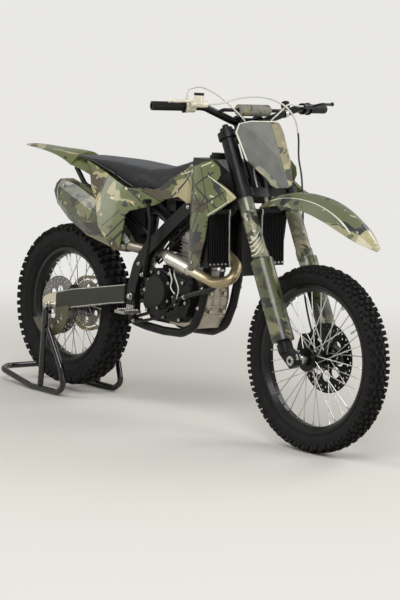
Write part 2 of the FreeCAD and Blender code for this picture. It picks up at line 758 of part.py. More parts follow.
def build_bars():
    """Handlebar with its crossbar, pad, grips and the two hand controls."""
    sweep = [
        bar_point(-BAR_SWEEP, -BAR_HALF, BAR_RISE),
        bar_point(BAR_BEND_N, -BAR_BEND_Y, BAR_BEND_RISE),
        bar_point(0, -BAR_FLAT, 0),
        bar_point(0, BAR_FLAT, 0),
        bar_point(BAR_BEND_N, BAR_BEND_Y, BAR_BEND_RISE),
        bar_point(-BAR_SWEEP, BAR_HALF, BAR_RISE),
    ]
    pieces = [tube(sweep, 70.0, BAR_R)]
    ends = [bar_point(CROSSBAR_N - BAR_CLAMP_N, y, CROSSBAR_RISE) for y in (-150.0, 150.0)]
    share = (165.0 - BAR_FLAT) / (BAR_BEND_Y - BAR_FLAT)
    seats = [bar_point(BAR_BEND_N * share, y, BAR_BEND_RISE * share) for y in (-165.0, 165.0)]
    pieces.append(tube([seats[0], ends[0], ends[1], seats[1]], 20.0, CROSSBAR_R))
    for side in (-1, 1):
        tip, along = bar_grip_line(side)
        pieces[0] = pieces[0].cut(rod(tip, tip + along * BAR_BORE_LENGTH, BAR_BORE_R))
    bar = fused(pieces)
    save("handlebar", [bar])
    pad = rod(
        bar_point(CROSSBAR_N - BAR_CLAMP_N, -PAD_HALF, CROSSBAR_RISE),
        bar_point(CROSSBAR_N - BAR_CLAMP_N, PAD_HALF, CROSSBAR_RISE),
        PAD_R,
    )
    core = rod(ends[0], ends[1], CROSSBAR_R + SEAT_GAP)
    save("bar_pad", [pad.cut(core)])
    grips = []
    for side in (-1, 1):
        tip, along = bar_grip_line(side)
        sleeve = rod(tip, tip + along * GRIP_LENGTH, GRIP_R)
        core = rod(tip - along, tip + along * (GRIP_LENGTH + 1.0), BAR_R + SEAT_GAP)
        flange = rod(tip + along * (GRIP_LENGTH - 4.0), tip + along * GRIP_LENGTH, GRIP_R + 7.0)
        grips.append(fused([sleeve, flange]).cut(core))
    save("grips", grips)
    save("brake_master", [hand_control(-1, True)])
    save("clutch_perch", [hand_control(1, False)])


def cord(points, radius):
    """A cable along points, each bend as wide as the runs beside it allow."""
    route = rounded_path(points, math.inf)
    bends = [edge.Curve.Radius for edge in route.Edges if isinstance(edge.Curve, Part.Circle)]
    print("cord of radius", radius, "length", round(route.Length), "tightest bend", round(min(bends)))
    return tube(points, math.inf, radius)


def cable_down(side):
    """A control cable's last points, from over the clamps down to the lower clamp."""
    clamp_top = LOWER_CLAMP_S + LOWER_CLAMP_T / 2.0 + CORD_GAP
    return [
        fork_point(60.0, side * 60.0, 932.0),
        fork_point(44.0, side * 46.0, 872.0),
        fork_point(32.0, side * 43.0, 800.0),
        fork_point(14.0, side * 46.0, 742.0),
        fork_point(10.0, side * 44.0, clamp_top),
    ]


def build_cables():
    """Throttle and clutch cables over the bars, and the hose down the left leg to the caliper."""
    tip, along = bar_grip_line(-1)
    housing = tip + along * (GRIP_LENGTH + 8.0)
    start = housing + V(0, 0, FERRULE_RISE + CORD_GAP)
    throttle = [start, start + V(2, 3, 28), V(1050, -266, 1316), V(1070, -205, 1292), V(1084, -140, 1246)]
    throttle_cable = cord(throttle + cable_down(-1), CABLE_R)
    end = control_end(1)
    clutch = [end, end + V(15, -48, 2), V(1096, 138, 1262), V(1103, 92, 1228)]
    clutch_cable = cord(clutch + cable_down(1), CABLE_R)
    save("control_cables", [throttle_cable, clutch_cable])
    hose = [
        control_end(-1),
        control_end(-1) + V(15, 48, 2),
        V(1092, -120, 1276),
        V(1096, -28, 1286),
        V(1101, 50, 1278),
        V(1110, 118, 1250),
        V(1120, 162, 1200),
        V(1129, 172, 1130),
        V(1140, 164, 1060),
        fork_point(50.0, 159.0, 716.0),
        fork_point(30.0, 153.0, 640.0),
        fork_point(4.0, 152.0, 562.0),
        fork_point(-24.0, 144.0, 494.0),
        fork_point(-40.0, 124.0, 420.0),
        fork_point(-43.0, 110.0, 340.0),
        fork_point(-41.0, 92.0, 255.0),
        fork_point(-35.0, 77.0, 178.0),
    ]
    foot, end = hose_fitting()
    save("brake_hose", [cord(hose + [end + (end - foot).normalize() * CORD_GAP], HOSE_R)])


def hose_fitting():
    """The foot and the tip of the hose's fitting on the front caliper."""
    foot = spun(FRONT_AXLE, FITTING_Y, FITTING_R, math.radians(FITTING_DEG))
    up = fork_point(0, 0, 1.0) - fork_point(0, 0, 0)
    return foot - up * 6.0, foot + up * 16.0


def control_end(side):
    """The inner end of a hand control's barrel, where its cable or hose leaves."""
    tip, along = bar_grip_line(side)
    return tip + along * (GRIP_LENGTH + BARREL_END + CORD_GAP) + CONTROL_AHEAD * (BAR_R + CONTROL_REACH)


def hand_control(side, hydraulic):
    """A perch clamped inside the grip with its lever, and a reservoir if hydraulic."""
    tip, along = bar_grip_line(side)
    near = tip + along * (GRIP_LENGTH + 14.0)
    far = near + along * 26.0
    reach = CONTROL_AHEAD * (BAR_R + CONTROL_REACH)
    barrel_end = tip + along * (GRIP_LENGTH + BARREL_END)
    pieces = [
        rod(near, far, BAR_R + 8.0),
        rod(near - along * 12.0 + reach, barrel_end + reach, 13.0 if hydraulic else 9.0),
        rod(near + along * 13.0 + CONTROL_AHEAD * (BAR_R + 4.0), near + along * 13.0 + reach, 10.0),
    ]
    pivot = near - along * 6.0 + reach
    lever = [
        pivot,
        pivot - along * 40.0 + CONTROL_AHEAD * (LEVER_REACH + 8.0),
        pivot - along * 80.0 + CONTROL_AHEAD * LEVER_REACH,
        pivot - along * 112.0 + CONTROL_AHEAD * (LEVER_REACH + 6.0),
    ]
    pieces.append(tube(lever, 40.0, 5.5))
    pieces.append(Part.makeSphere(8.0, lever[-1]))
    if hydraulic:
        foot = near + along * 22.0 + reach
        pieces.append(Part.makeCylinder(18.0, 34.0, foot, V(0, 0, 1)))
        housing = tip + along * (GRIP_LENGTH + SEAT_GAP)
        pieces.append(rod(housing, near + along, BAR_R + 9.0))
        ferrule = tip + along * (GRIP_LENGTH + 8.0)
        pieces.append(rod(ferrule, ferrule + V(0, 0, FERRULE_RISE), 5.0))
    whole = fused(pieces)
    return whole.cut(rod(tip, far + along * 60.0, BAR_R + SEAT_GAP))


# Chassis, drawn in the bike's side view


def spar(grow=0.0):
    """The left frame spar from the swingarm pivot up to the head tube."""
    half = SPAR_H / 2.0 + grow
    y_in = SPAR_IN - grow
    y_out = SPAR_IN + SPAR_T + grow
    route = [
        (PIVOT_X - 8, SPAR_FOOT_Z - grow), (PIVOT_X - 8, 500),
        (548, 585), (609, 663), (725, 758), (866, 864),
    ]
    band = side_band(route, 60.0, 2.0 * half, y_in, y_out)
    rise = V(866 - 725, 0, 864 - 758).normalize()
    up = V(-rise.z, 0, rise.x) * half
    start = V(866, 0, 864)
    head = fork_point(-CLAMP_OFFSET - 4.0, 0, 770.0)
    tall = fork_point(0, 0, 34.0 + grow) - fork_point(0, 0, 0)
    sections = []
    for spot, lift, near, far in ((start, up, y_in, y_out), (head, tall, 14.0 - grow, 38.0 + grow)):
        corners = [
            spot - lift + V(0, near, 0), spot + lift + V(0, near, 0),
            spot + lift + V(0, far, 0), spot - lift + V(0, far, 0),
        ]
        sections.append(Part.makePolygon(corners + [corners[0]]))
    front = Part.makeLoft(sections, True, True)
    beam = fused([band, front])
    pivot = V(PIVOT_X, 0, PIVOT_Z)
    bolt_hole = rod(pivot, pivot + V(0, 200, 0), PIVOT_BOLT_R + SEAT_GAP)
    return beam.cut([bolt_hole, head_tube_space(SEAT_GAP - grow)])


def head_tube_space(gap):
    """The head tube's outside, grown by gap, past both clamps."""
    body = Part.makeCylinder(HEAD_TUBE_R + gap, 260.0, V(-CLAMP_OFFSET, 0, 620.0), V(0, 0, 1))
    return in_fork(body)


def build_frame():
    """Head tube, spars, cradles and subframe."""
    low = LOWER_CLAMP_S + LOWER_CLAMP_T / 2.0 + HEAD_GAP
    high = UPPER_CLAMP_S - UPPER_CLAMP_T / 2.0 - HEAD_GAP
    centre = V(-CLAMP_OFFSET, 0, low)
    body = Part.makeCylinder(HEAD_TUBE_R, high - low, centre, V(0, 0, 1))
    web = [
        (-CLAMP_OFFSET - 20, low + 4), (-CLAMP_OFFSET - 20, low + 90), (-126, low + 22),
        (-126, low - 10), (-100, low - 16), (-84, low + 4),
    ]
    gusset = side_plate(web, -9.0, 9.0)
    body = fused([body, gusset])
    body = body.cut(Part.makeCylinder(STEM_R + RUN_GAP, high - low, centre, V(0, 0, 1)))
    save("frame_head", [in_fork(body)])
    save("frame_spars", both(spar()))
    save("frame_cradles", both(tube(cradle_route(), 70.0, CRADLE_R)))
    brace = [V(596, SUBFRAME_Y, 700), V(540, SUBFRAME_Y, 732), V(190, SUBFRAME_Y, 862)]
    strut = tube(brace, 60.0, SUBFRAME_R)
    save("subframe", both(fused([subframe_rail(SUBFRAME_R), strut])))


def cradle_route():
    """The left cradle tube's corners, from the head tube's gusset under the engine to the spar."""
    low = LOWER_CLAMP_S + LOWER_CLAMP_T / 2.0 + HEAD_GAP
    foot_y = SPAR_IN + SPAR_T / 2.0
    return [
        fork_point(-108.0, CRADLE_R + 9.0 + SEAT_GAP, low + 6.0),
        V(965, 52, 800),
        V(931, CRADLE_Y, 700),
        V(931, CRADLE_Y, 575),
        V(908, CRADLE_Y, 470),
        V(870, CRADLE_Y, 385),
        V(800, CRADLE_Y, 352),
        V(690, CRADLE_Y, 346),
        V(590, CRADLE_Y + 5, 352),
        V(PIVOT_X - 8, foot_y, 368),
        V(PIVOT_X - 8, foot_y, SPAR_FOOT_Z - SEAT_GAP),
    ]


def subframe_rail(radius):
    """The left upper rail of the subframe, from the spar to under the rear fender."""
    route = [
        V(735, SUBFRAME_Y, 745), V(560, SUBFRAME_Y, 836),
        V(150, SUBFRAME_Y, 868), V(84, SUBFRAME_Y, SUBFRAME_END_Z),
    ]
    return tube(route, 60.0, radius)


def build_swingarm():
    """Swingarm beams, front yoke and pivot, shock, chain and rear brake pieces."""
    outline = [
        (-56, 352), (-44, 345), (60, 350), (387, 414), (480, 430), (480, 506), (369, 486), (133, 445),
        (-15, 407), (-44, 396), (-56, 388),
    ]
    beam = eased(side_plate(outline, ARM_IN, ARM_IN + ARM_T), ARM_EDGE_R, ARM_IN + ARM_T)
    adjuster = rod(V(-50, ARM_IN + ARM_T / 2.0, 370), V(-72, ARM_IN + ARM_T / 2.0, 370), 5.0)
    beam = fused([beam, adjuster]).cut(rod(REAR_AXLE, REAR_AXLE + V(0, 200, 0), REAR_AXLE_R + SEAT_GAP))
    save("swingarm_beams", both(beam))
    reach = ARM_IN - SEAT_GAP
    outline = [
        (410, 434), (478, 440), (PIVOT_X, PIVOT_Z - PIVOT_R),
        (PIVOT_X, PIVOT_Z + PIVOT_R), (470, 482), (410, 472),
    ]
    pivot = V(PIVOT_X, 0, PIVOT_Z)
    yoke = fused([
        side_plate(outline, -reach, reach),
        rod(pivot - V(0, reach, 0), pivot + V(0, reach, 0), PIVOT_R),
        rod(pivot - V(0, BOLT_HALF, 0), pivot + V(0, BOLT_HALF, 0), PIVOT_BOLT_R),
        rod(pivot - V(0, BOLT_HALF, 0), pivot - V(0, SPAR_IN + SPAR_T + SEAT_GAP, 0), 15.0),
        rod(pivot + V(0, BOLT_HALF, 0), pivot + V(0, SPAR_IN + SPAR_T + SEAT_GAP, 0), 15.0),
    ])
    save("swingarm_yoke", [yoke])
    lower = V(452, 0, 482)
    upper = V(492, 0, 790)
    run = (upper - lower).normalize()
    shock = fused([
        rod(lower, upper, 9.0),
        rod(lower + run * 30, lower + run * 40, 38.0),
        rod(lower + run * 40, lower + run * 200, 33.0),
        rod(lower + run * 200, lower + run * 212, 38.0),
        rod(lower + run * 212, upper - run * 12, 27.0),
        rod(upper - V(0, 30, 0), upper + V(0, 30, 0), 14.0),
    ])
    below = [
        (400, 400), (540, 400), (540, PIVOT_Z + PIVOT_R + SEAT_GAP),
        (470, 482 + SEAT_GAP), (400, 470.4 + SEAT_GAP),
    ]
    shock = shock.cut(side_plate(below, -60, 60))
    save("shock", [shock])
    save("chain", [chain()])
    outline = [(250, 360), (330, 372), (330, 420), (300, 440), (250, 420)]
    slider = side_plate(outline, CHAIN_Y - CHAIN_W / 2.0 - 2.0, ARM_IN - SEAT_GAP)
    under_arm = [(240, 0), (340, 0), (340, 420), (240, 395)]
    inner = side_plate(under_arm, CHAIN_Y - CHAIN_W / 2.0 - 0.5, CHAIN_Y + 9.0)
    save("chain_guide", [slider.cut(inner)])
    axle = rod(REAR_AXLE - V(0, AXLE_HALF, 0), REAR_AXLE + V(0, AXLE_HALF, 0), REAR_AXLE_R)
    pieces = [axle]
    for side in (-1, 1):
        start = REAR_AXLE + V(0, side * (REAR_HUB_HALF + 0.5), 0)
        end = REAR_AXLE + V(0, side * (ARM_IN - SEAT_GAP), 0)
        pieces.append(rod(start, end, REAR_AXLE_R + 5.0))
        nut = REAR_AXLE + V(0, side * (ARM_IN + ARM_T + SEAT_GAP), 0)
        pieces.append(rod(nut, nut + V(0, side * 10.0, 0), AXLE_NUT_R))
    save("rear_axle", [fused(pieces)])
    disc_face = REAR_DISC_Y + DISC_T / 2.0
    room = ARM_IN - disc_face - SEAT_GAP
    block = caliper(REAR_AXLE, -disc_face, 16.0, room, 72.0, REAR_DISC_R + 14.0, 24.0, 42.0)
    save("rear_caliper", [block])
    guard_in = ARM_IN + ARM_T + SEAT_GAP
    start = REAR_AXLE - V(0, guard_in, 0)
    guard = Part.makeCylinder(REAR_DISC_R + 8.0, PANEL_T, start, V(0, -1, 0))
    low_edge = [(-120, 296), (-34, 296), (38, 312), (46, 358), (160, 380), (160, 200), (-120, 200)]
    lower_half = side_plate(low_edge, -guard_in - PANEL_T, -guard_in)
    guard = guard.common(lower_half)
    holes = []
    for index in range(5):
        turn = math.radians(-25.0 - 27.0 * index)
        spot = start + V(88.0 * math.cos(turn), 0, 88.0 * math.sin(turn))
        holes.append(Part.makeCylinder(13.0, PANEL_T, spot, V(0, -1, 0)))
    save("disc_guard", [guard.cut(holes)])


def chain_loop(offset):
    """The chain's side outline, offset mm outside its pitch line."""
    rear = V(REAR_AXLE.x, CHAIN_Y - CHAIN_W / 2.0, REAR_AXLE.z)
    front = V(FRONT_SPROCKET_X, CHAIN_Y - CHAIN_W / 2.0, FRONT_SPROCKET_Z)
    rear_r = SPROCKET_R + CHAIN_GAP + CHAIN_H / 2.0 + offset
    front_r = FRONT_SPROCKET_R + SEAT_GAP + CHAIN_H / 2.0 + offset
    between = front - rear
    slope = math.atan2(between.z, between.x)
    spread = math.acos((rear_r - front_r) / between.Length)

    def spot(centre, r, turn):
        return centre + V(r * math.cos(turn), 0, r * math.sin(turn))

    high = slope + spread
    low = slope - spread
    return Part.Wire([
        Part.LineSegment(spot(rear, rear_r, high), spot(front, front_r, high)).toShape(),
        Part.Arc(
            spot(front, front_r, high), spot(front, front_r, slope), spot(front, front_r, low),
        ).toShape(),
        Part.LineSegment(spot(front, front_r, low), spot(rear, rear_r, low)).toShape(),
        Part.Arc(
            spot(rear, rear_r, low), spot(rear, rear_r, slope + math.pi), spot(rear, rear_r, high),
        ).toShape(),
    ])


def chain():
    """The drive chain: side plates that swell at each pin and narrow between, round both sprockets."""
    pitch_line = chain_loop(0.0)
    links = round(pitch_line.Length / CHAIN_PITCH)
    spots = pitch_line.discretize(Number=2 * links + 1)[:-1]
    corners = []
    for index, spot in enumerate(spots):
        ahead = (spots[(index + 1) % len(spots)] - spots[index - 1]).normalize()
        outward = V(-ahead.z, 0, ahead.x)
        reach = CHAIN_H / 2.0 if index % 2 == 0 else CHAIN_H / 2.0 - CHAIN_WAIST
        corners.append(spot + outward * reach)
    across = V(0, CHAIN_W, 0)
    band = face(corners).extrude(across)
    return band.cut(Part.Face(chain_loop(-CHAIN_H / 2.0)).extrude(across))


def build_engine():
    """Engine, covers, exhaust and radiators."""
    middle = [
        (566, 400), (585, 374), (850, 374), (884, 420), (905, 500), (900, 548),
        (860, 570), (700, 590), (640, 600), (640, 540), (566, 430),
    ]
    flank = [(660, 400), (820, 400), (850, 430), (862, 520), (836, 570), (660, 575)]
    right_flank = [
        (588, 440), (616, 408), (680, 396), (800, 392), (848, 424), (872, 478),
        (866, 528), (836, 570), (700, 588), (640, 588), (592, 552),
    ]
    sprocket_seat = V(FRONT_SPROCKET_X, CHAIN_Y - 8, FRONT_SPROCKET_Z)
    post = rod(V(FRONT_SPROCKET_X, 50, FRONT_SPROCKET_Z), sprocket_seat, 14.0)
    nose = rod(sprocket_seat, V(FRONT_SPROCKET_X, CHAIN_Y, FRONT_SPROCKET_Z), FRONT_SPROCKET_R)
    pieces = [
        side_plate(middle, -60.0, 60.0),
        eased(side_plate(flank, 55.0, CASE_LEFT), CASE_EDGE_R, CASE_LEFT),
        eased(side_plate(right_flank, -CASE_RIGHT, -55.0), CASE_EDGE_R, -CASE_RIGHT),
        post,
        nose,
    ]
    for x, z in CASE_BOLTS_RIGHT:
        pieces.append(rod(V(x, -CASE_RIGHT + 12.0, z), V(x, -CASE_RIGHT - 4.0, z), 8.0))
    for x, z in CASE_BOLTS_LEFT:
        pieces.append(rod(V(x, CASE_LEFT - 12.0, z), V(x, CASE_LEFT + 4.0, z), 8.0))
    pump = V(PUMP_X, -CASE_RIGHT + 4.0, PUMP_Z)
    pieces.append(rod(pump, pump - V(0, 20, 0), 25.0))
    pieces.append(rod(pump, pump - V(0, 26, 0), 13.0))
    outlet = pump - V(0, PUMP_OUTLET_Y, 0)
    pieces.append(rod(outlet, outlet + PUMP_OUT * PUMP_OUTLET_L, 9.0))
    save("engine_case", [fused(pieces)])
    build_cylinder()
    clutch = V(700, -CASE_RIGHT - SEAT_GAP, 508)
    out = V(0, -1, 0)
    lid = Part.makeCone(66.0, 58.0, 34.0, clutch, out)
    rim_ring = Part.makeCylinder(70.0, 12.0, clutch, out)
    lugs = []
    for index in range(6):
        spot = spun(clutch, 0, 68.0, math.radians(30.0 + 60.0 * index))
        lugs.append(Part.makeCylinder(8.0, 14.0, spot, out))
    save("clutch_cover", [fused([lid, rim_ring] + lugs)])
    magneto = V(752, CASE_LEFT + SEAT_GAP, 480)
    left = V(0, 1, 0)
    rim = Part.makeCylinder(60.0, 12.0, magneto, left)
    dome = Part.makeCone(56.0, 44.0, 26.0, magneto, left)
    cap = fused([rim, dome])
    save("ignition_cover", [cap])
    build_exhaust()
    build_radiators()
    build_hoses()


def build_cylinder():
    """The leaning cylinder with its fins, head, cam cover and throttle body."""
    base = Part.makeBox(124.0, 120.0, 30.0, V(-62, -60, 0))
    barrel = Part.makeBox(104.0, 104.0, 100.0, V(-52, -52, 30))
    fins = [
        Part.makeBox(116.0, 116.0, 4.0, V(-58, -58, 44.0 + index * FIN_PITCH))
        for index in range(FIN_COUNT)
    ]
    head = Part.makeBox(132.0, 124.0, 62.0, V(-66, -62, 130))
    cover = Part.makeBox(108.0, 104.0, 46.0, V(-54, -52, 192))
    rims = [edge for edge in cover.Edges if edge.BoundBox.ZMin > 237.0]
    cover = cover.makeFillet(14.0, rims)
    plug = rod(V(0, -61, 160), V(0, -76, 160), 16.0)
    studs = [rod(V(x, y, 190), V(x, y, 199), 6.0) for x in (-58.0, 58.0) for y in (-54.0, 54.0)]
    inlet = rod(V(-60, 0, 150), V(-104, 0, 164), 26.0)
    cylinder = fused([base, barrel, head, cover, plug, inlet] + fins + studs)
    tilt = FreeCAD.Rotation(V(0, 1, 0), CYLINDER_TILT)
    cylinder.Placement = FreeCAD.Placement(V(782, 0, 572), tilt)
    case_top = [(600, 500), (950, 500), (950, 562), (860, 570.5), (700, 590.5), (600, 606)]
    save("engine_cylinder", [cylinder.cut(side_plate(case_top, -80, 80))])


def build_radiators():
    """The radiator pair with upright louvres in front, side tanks and the hoses' outlets."""
    core = Part.makeBox(RADIATOR_T, RADIATOR_W, RADIATOR_H, V(-RADIATOR_T, 0, 0))
    top = Part.makeBox(RADIATOR_T + 8.0, RADIATOR_W, 22.0, V(-RADIATOR_T - 4.0, 0, RADIATOR_H - 22.0))
    foot = Part.makeBox(RADIATOR_T + 8.0, RADIATOR_W, 22.0, V(-RADIATOR_T - 4.0, 0, 0))
    louvres = []
    for index in range(LOUVRE_COUNT):
        louvre = Part.makeBox(LOUVRE_DEPTH, 2.5, RADIATOR_H - 30.0, V(0, 0, 15.0))
        louvre.rotate(V(0, 0, 0), V(0, 0, 1), LOUVRE_TURN)
        louvre.translate(V(-2.0, 10.0 + index * (RADIATOR_W - 20.0) / (LOUVRE_COUNT - 1), 0))
        louvres.append(louvre)
    boss_z = RADIATOR_H - 12.0
    boss_out = SHROUD_HALF + SHROUD_BULGE - RADIATOR_IN - PANEL_T - SEAT_GAP
    boss = rod(V(-RADIATOR_T / 2.0, RADIATOR_W - 1.0, boss_z), V(-RADIATOR_T / 2.0, boss_out, boss_z), 9.0)
    core = fused([core, top, foot, boss] + louvres)
    lean = FreeCAD.Rotation(V(0, 1, 0), -RADIATOR_TILT)
    core.Placement = FreeCAD.Placement(V(1058, RADIATOR_IN, 640), lean)
    tab = rod(V(1032, 92, 690), V(931, 84, 690), 6.0)
    core = fused([core, tab]).cut(tube(cradle_route(), 70.0, CRADLE_R + SEAT_GAP))
    save("radiators", both(core))


def build_hoses():
    """The coolant hose from the right radiator's foot to the pump's outlet."""
    pump = V(PUMP_X, -CASE_RIGHT + 4.0 - PUMP_OUTLET_Y, PUMP_Z) + PUMP_OUT * (PUMP_OUTLET_L + SEAT_GAP)
    foot = V(1036, -RADIATOR_IN - 14.0, 636.6)
    route = [pump, pump + PUMP_OUT * 36.0, V(942, -122, 530), V(984, -97, 546), foot - V(8, 0, 50), foot]
    save("coolant_hose", [tube(route, 40.0, 10.0)])


def build_exhaust():
    """Header pipe with its round chamber, and the tapered muffler."""
    route = [
        V(862, -32, 702), V(972, -34, 688), V(1066, -48, 644), V(1098, -100, 596), V(1040, -128, 575),
        V(935, -128, 598), V(800, -128, 632), V(732, -116, 642), V(672, -68, 645), V(604, -60, 643),
        V(556, -64, 647), V(506, -116, 659), V(480, -130, 669),
    ]
    pipe = tube(route, 60.0, PIPE_R)
    start = V(888, -128, 611)
    end = V(764, -128, 640.5)
    along = (end - start).normalize()
    chamber = fused([
        pipe,
        rod(start, end, PIPE_R + 6.0),
        Part.makeCone(PIPE_R, PIPE_R + 6.0, 16.0, start - along * 16.0, along),
    ])
    port = side_plate([(780, 600), (SPIGOT_X - 18, 600), (SPIGOT_X, 800), (780, 800)], -60, 0)
    slope = V(-0.92, 0, 0.391)
    up = V(0.391, 0, 0.92)
    mouth = V(505, -118, 659) - slope * SEAT_GAP
    beyond = face([
        mouth + up * 60 - V(0, 60, 0), mouth + up * 60 + V(0, 60, 0),
        mouth - up * 60 + V(0, 60, 0), mouth - up * 60 - V(0, 60, 0),
    ])
    save("exhaust_header", [chamber.cut([port, beyond.extrude(slope * 80)])])
    sections = []
    for x, y, z, wide, tall in (
        (505, -118, 659, 25, 25), (470, -126, 676, 33, 42), (400, -132, 712, 39, 60),
        (310, -140, 752, 46, 78), (183, -141, 802, 46, 74), (95, -141, 842, 42, 58),
    ):
        sections.append(octagon(V(x, y, z), up, wide, tall))
    body = Part.makeLoft(sections, True, True)
    tip = octagon(V(95, -141, 842) + slope * 36.0, up, 28, 38)
    cap = Part.makeLoft([sections[-1], tip], True, True)
    muffler = fused([body, cap])
    outlet = V(95, -141, 842) + slope * 20.0
    muffler = muffler.cut(rod(outlet, outlet + slope * 30.0, 20.0))
    save("exhaust_muffler", [muffler])


def octagon(centre, up, wide, tall):
    """An eight-sided section standing across the muffler's slope."""
    corners = []
    for across, rise in (
        (1, 0.45), (0.5, 1), (-0.5, 1), (-1, 0.45),
        (-1, -0.45), (-0.5, -1), (0.5, -1), (1, -0.45),
    ):
        corners.append(centre + V(0, across * wide, 0) + up * (rise * tall))
    return Part.makePolygon(corners + [corners[0]])


def panel(outline, low_route, low_z, high_route, high_z):
    """The left one of a pair of thin curved panels, trimmed to its side outline."""
    rings = []
    for route, z in ((low_route, low_z), (high_route, high_z)):
        outer = Part.BSplineCurve()
        outer.interpolate([V(x, y, z) for x, y in route])
        inner = Part.BSplineCurve()
        inner.interpolate([V(x, y - PANEL_T, z) for x, y in reversed(route)])
        first = V(route[0][0], route[0][1], z)
        last = V(route[-1][0], route[-1][1], z)
        thick = V(0, PANEL_T, 0)
        ring = Part.Wire([
            outer.toShape(),
            Part.LineSegment(last, last - thick).toShape(),
            inner.toShape(),
            Part.LineSegment(first - thick, first).toShape(),
        ])
        rings.append(ring)
    sheet = Part.makeLoft(rings, True, True)
    return sheet.common(side_plate(outline, 40.0, 320.0))


def build_body():
    """Seat, tank, panels and rear fender."""
    top = [(62, 986), (197, 988), (327, 987), (455, 981), (581, 976), (672, 984), (750, 1006), (812, 1028)]
    belly = [(824, 1002), (752, 952), (665, 902), (610, 884), (480, 881), (348, 928), (200, 968), (62, 978)]
    seat = smooth_plate(
        [top, [top[-1], belly[0]]] + [[a, b] for a, b in zip(belly, belly[1:])] + [[belly[-1], top[0]]],
        -SEAT_HALF, SEAT_HALF,
    )
    plan = Part.BSplineCurve()
    plan.interpolate([V(50, 76, 0), V(200, 92, 0), V(450, SEAT_HALF - 1, 0), V(650, 98, 0), V(880, 72, 0)])
    mirror_plan = plan.toShape().mirror(V(0, 0, 0), V(0, 1, 0))
    edge = Part.Wire([
        plan.toShape(),
        Part.LineSegment(V(880, 72, 0), V(880, -72, 0)).toShape(),
        mirror_plan,
        Part.LineSegment(V(50, -76, 0), V(50, 76, 0)).toShape(),
    ])
    footprint = Part.Face(edge).extrude(V(0, 0, 1200))
    save("seat", [seat.common(footprint)])
    tank = [
        (700, 862), (700, 905), (752, 940), (828, 990), (832, 1036),
        (948, 1036), (1000, 990), (1012, 935), (968, 866),
    ]
    body = side_plate(tank, -TANK_HALF, TANK_HALF)
    plan = [
        V(690, -TANK_HALF, 850), V(915, -TANK_HALF, 850), V(1020, -44, 850),
        V(1020, 44, 850), V(915, TANK_HALF, 850), V(690, TANK_HALF, 850),
    ]
    body = body.common(face(plan).extrude(V(0, 0, 200)))
    body = body.cut(both(spar(1.0)))
    body = body.cut(both(subframe_rail(SUBFRAME_R + 1.0)))
    save("fuel_tank", [max(body.Solids, key=lambda solid: solid.Volume)])
    cap_foot = V(872, 0, 1036 + SEAT_GAP)
    cap = fused([Part.makeCylinder(36.0, 10.0, cap_foot), Part.makeCylinder(30.0, 20.0, cap_foot)])
    save("fuel_cap", [cap])
    flat = [(975, SHROUD_HALF), (1060, SHROUD_HALF), (1212, SHROUD_HALF)]
    low = [(640, 128), (780, 132), (866, 152), (925, 186)] + flat
    high = [(640, 119), (780, 124), (866, 134), (925, 174)] + flat
    outline = [
        (671, 905), (700, 862), (790, 882), (856, 862), (930, 872),
        (948, 740), (952, 620), (985, 618), (1024, 655),
        (1046, 744), (1056, 831), (1084, 845), (1159, 893),
        (1207, 916), (1144, 944), (1091, 969), (1106, 992),
        (1098, 1021), (1062, 1044), (994, 1024), (938, 1008), (872, 1014), (756, 956),
    ]
    save("shrouds", both(panel(outline, low, 600.0, high, 1060.0)))
    low = [(150, 132), (261, 202), (330, 234), (400, 216), (500, 178), (580, 148), (700, 127)]
    high = [(150, 108), (261, 110), (330, 112), (400, 112), (500, 112), (580, 112), (700, 112)]
    outline = [
        (190, 974), (348, 936), (480, 889), (608, 892), (670, 904),
        (698, 860), (645, 836), (517, 802), (500, 783),
        (500, 650), (480, 640), (438, 677), (382, 731), (330, 832), (261, 872),
    ]
    boss = rod(V(556, SUBFRAME_Y + SUBFRAME_R + SEAT_GAP, 838), V(556, 129, 838), 8.0)
    save("side_panels", both(fused([panel(outline, low, 620.0, high, 1000.0), boss])))
    guard = fender([
        (330.0, 92.0, 922.0, 862.0),
        (200.0, 98.0, 961.0, 915.0),
        (61.0, 96.0, 974.0, 945.0),
    ])
    tail = fender([
        (61.0, 96.0, 997.0, 945.0),
        (-40.0, 90.0, 1003.0, 976.0),
        (-143.0, 80.0, 1004.0, 990.0),
        (-249.0, 62.0, 1007.0, 996.0),
        (-REAR_OVERHANG, 26.0, 1003.0, 998.0),
    ], RIDGE_RISE)
    high = Part.Face(fender_section(59.0, 96.0, 997.0, 945.0, RIDGE_RISE)).extrude(V(STEP_T, 0, 0))
    step = side_plate([(59, 945), (59 + STEP_T, 945), (59 + STEP_T, 1010), (59, 1010)], -96.0, 96.0)
    under = fender_body(59.0, 96.0, 968.0, 945.0, STEP_T)
    over = fender_body(59.0, 96.0, 997.0, 945.0, STEP_T)
    save("rear_fender", [fused([guard, tail, high, step.common(over).cut(under)])])
    box = [(330, 730), (350, 690), (415, 640), (415, 840), (470, 870), (200, 900), (215, 868), (290, 820)]
    box_half = SUBFRAME_Y - SUBFRAME_R - SEAT_GAP
    boot = tube([V(668, 0, 748), V(600, 0, 790), V(520, 0, 838), V(440, 0, 846)], 80.0, BOOT_R)
    save("airbox", [fused([side_plate(box, -box_half, box_half), boot])])


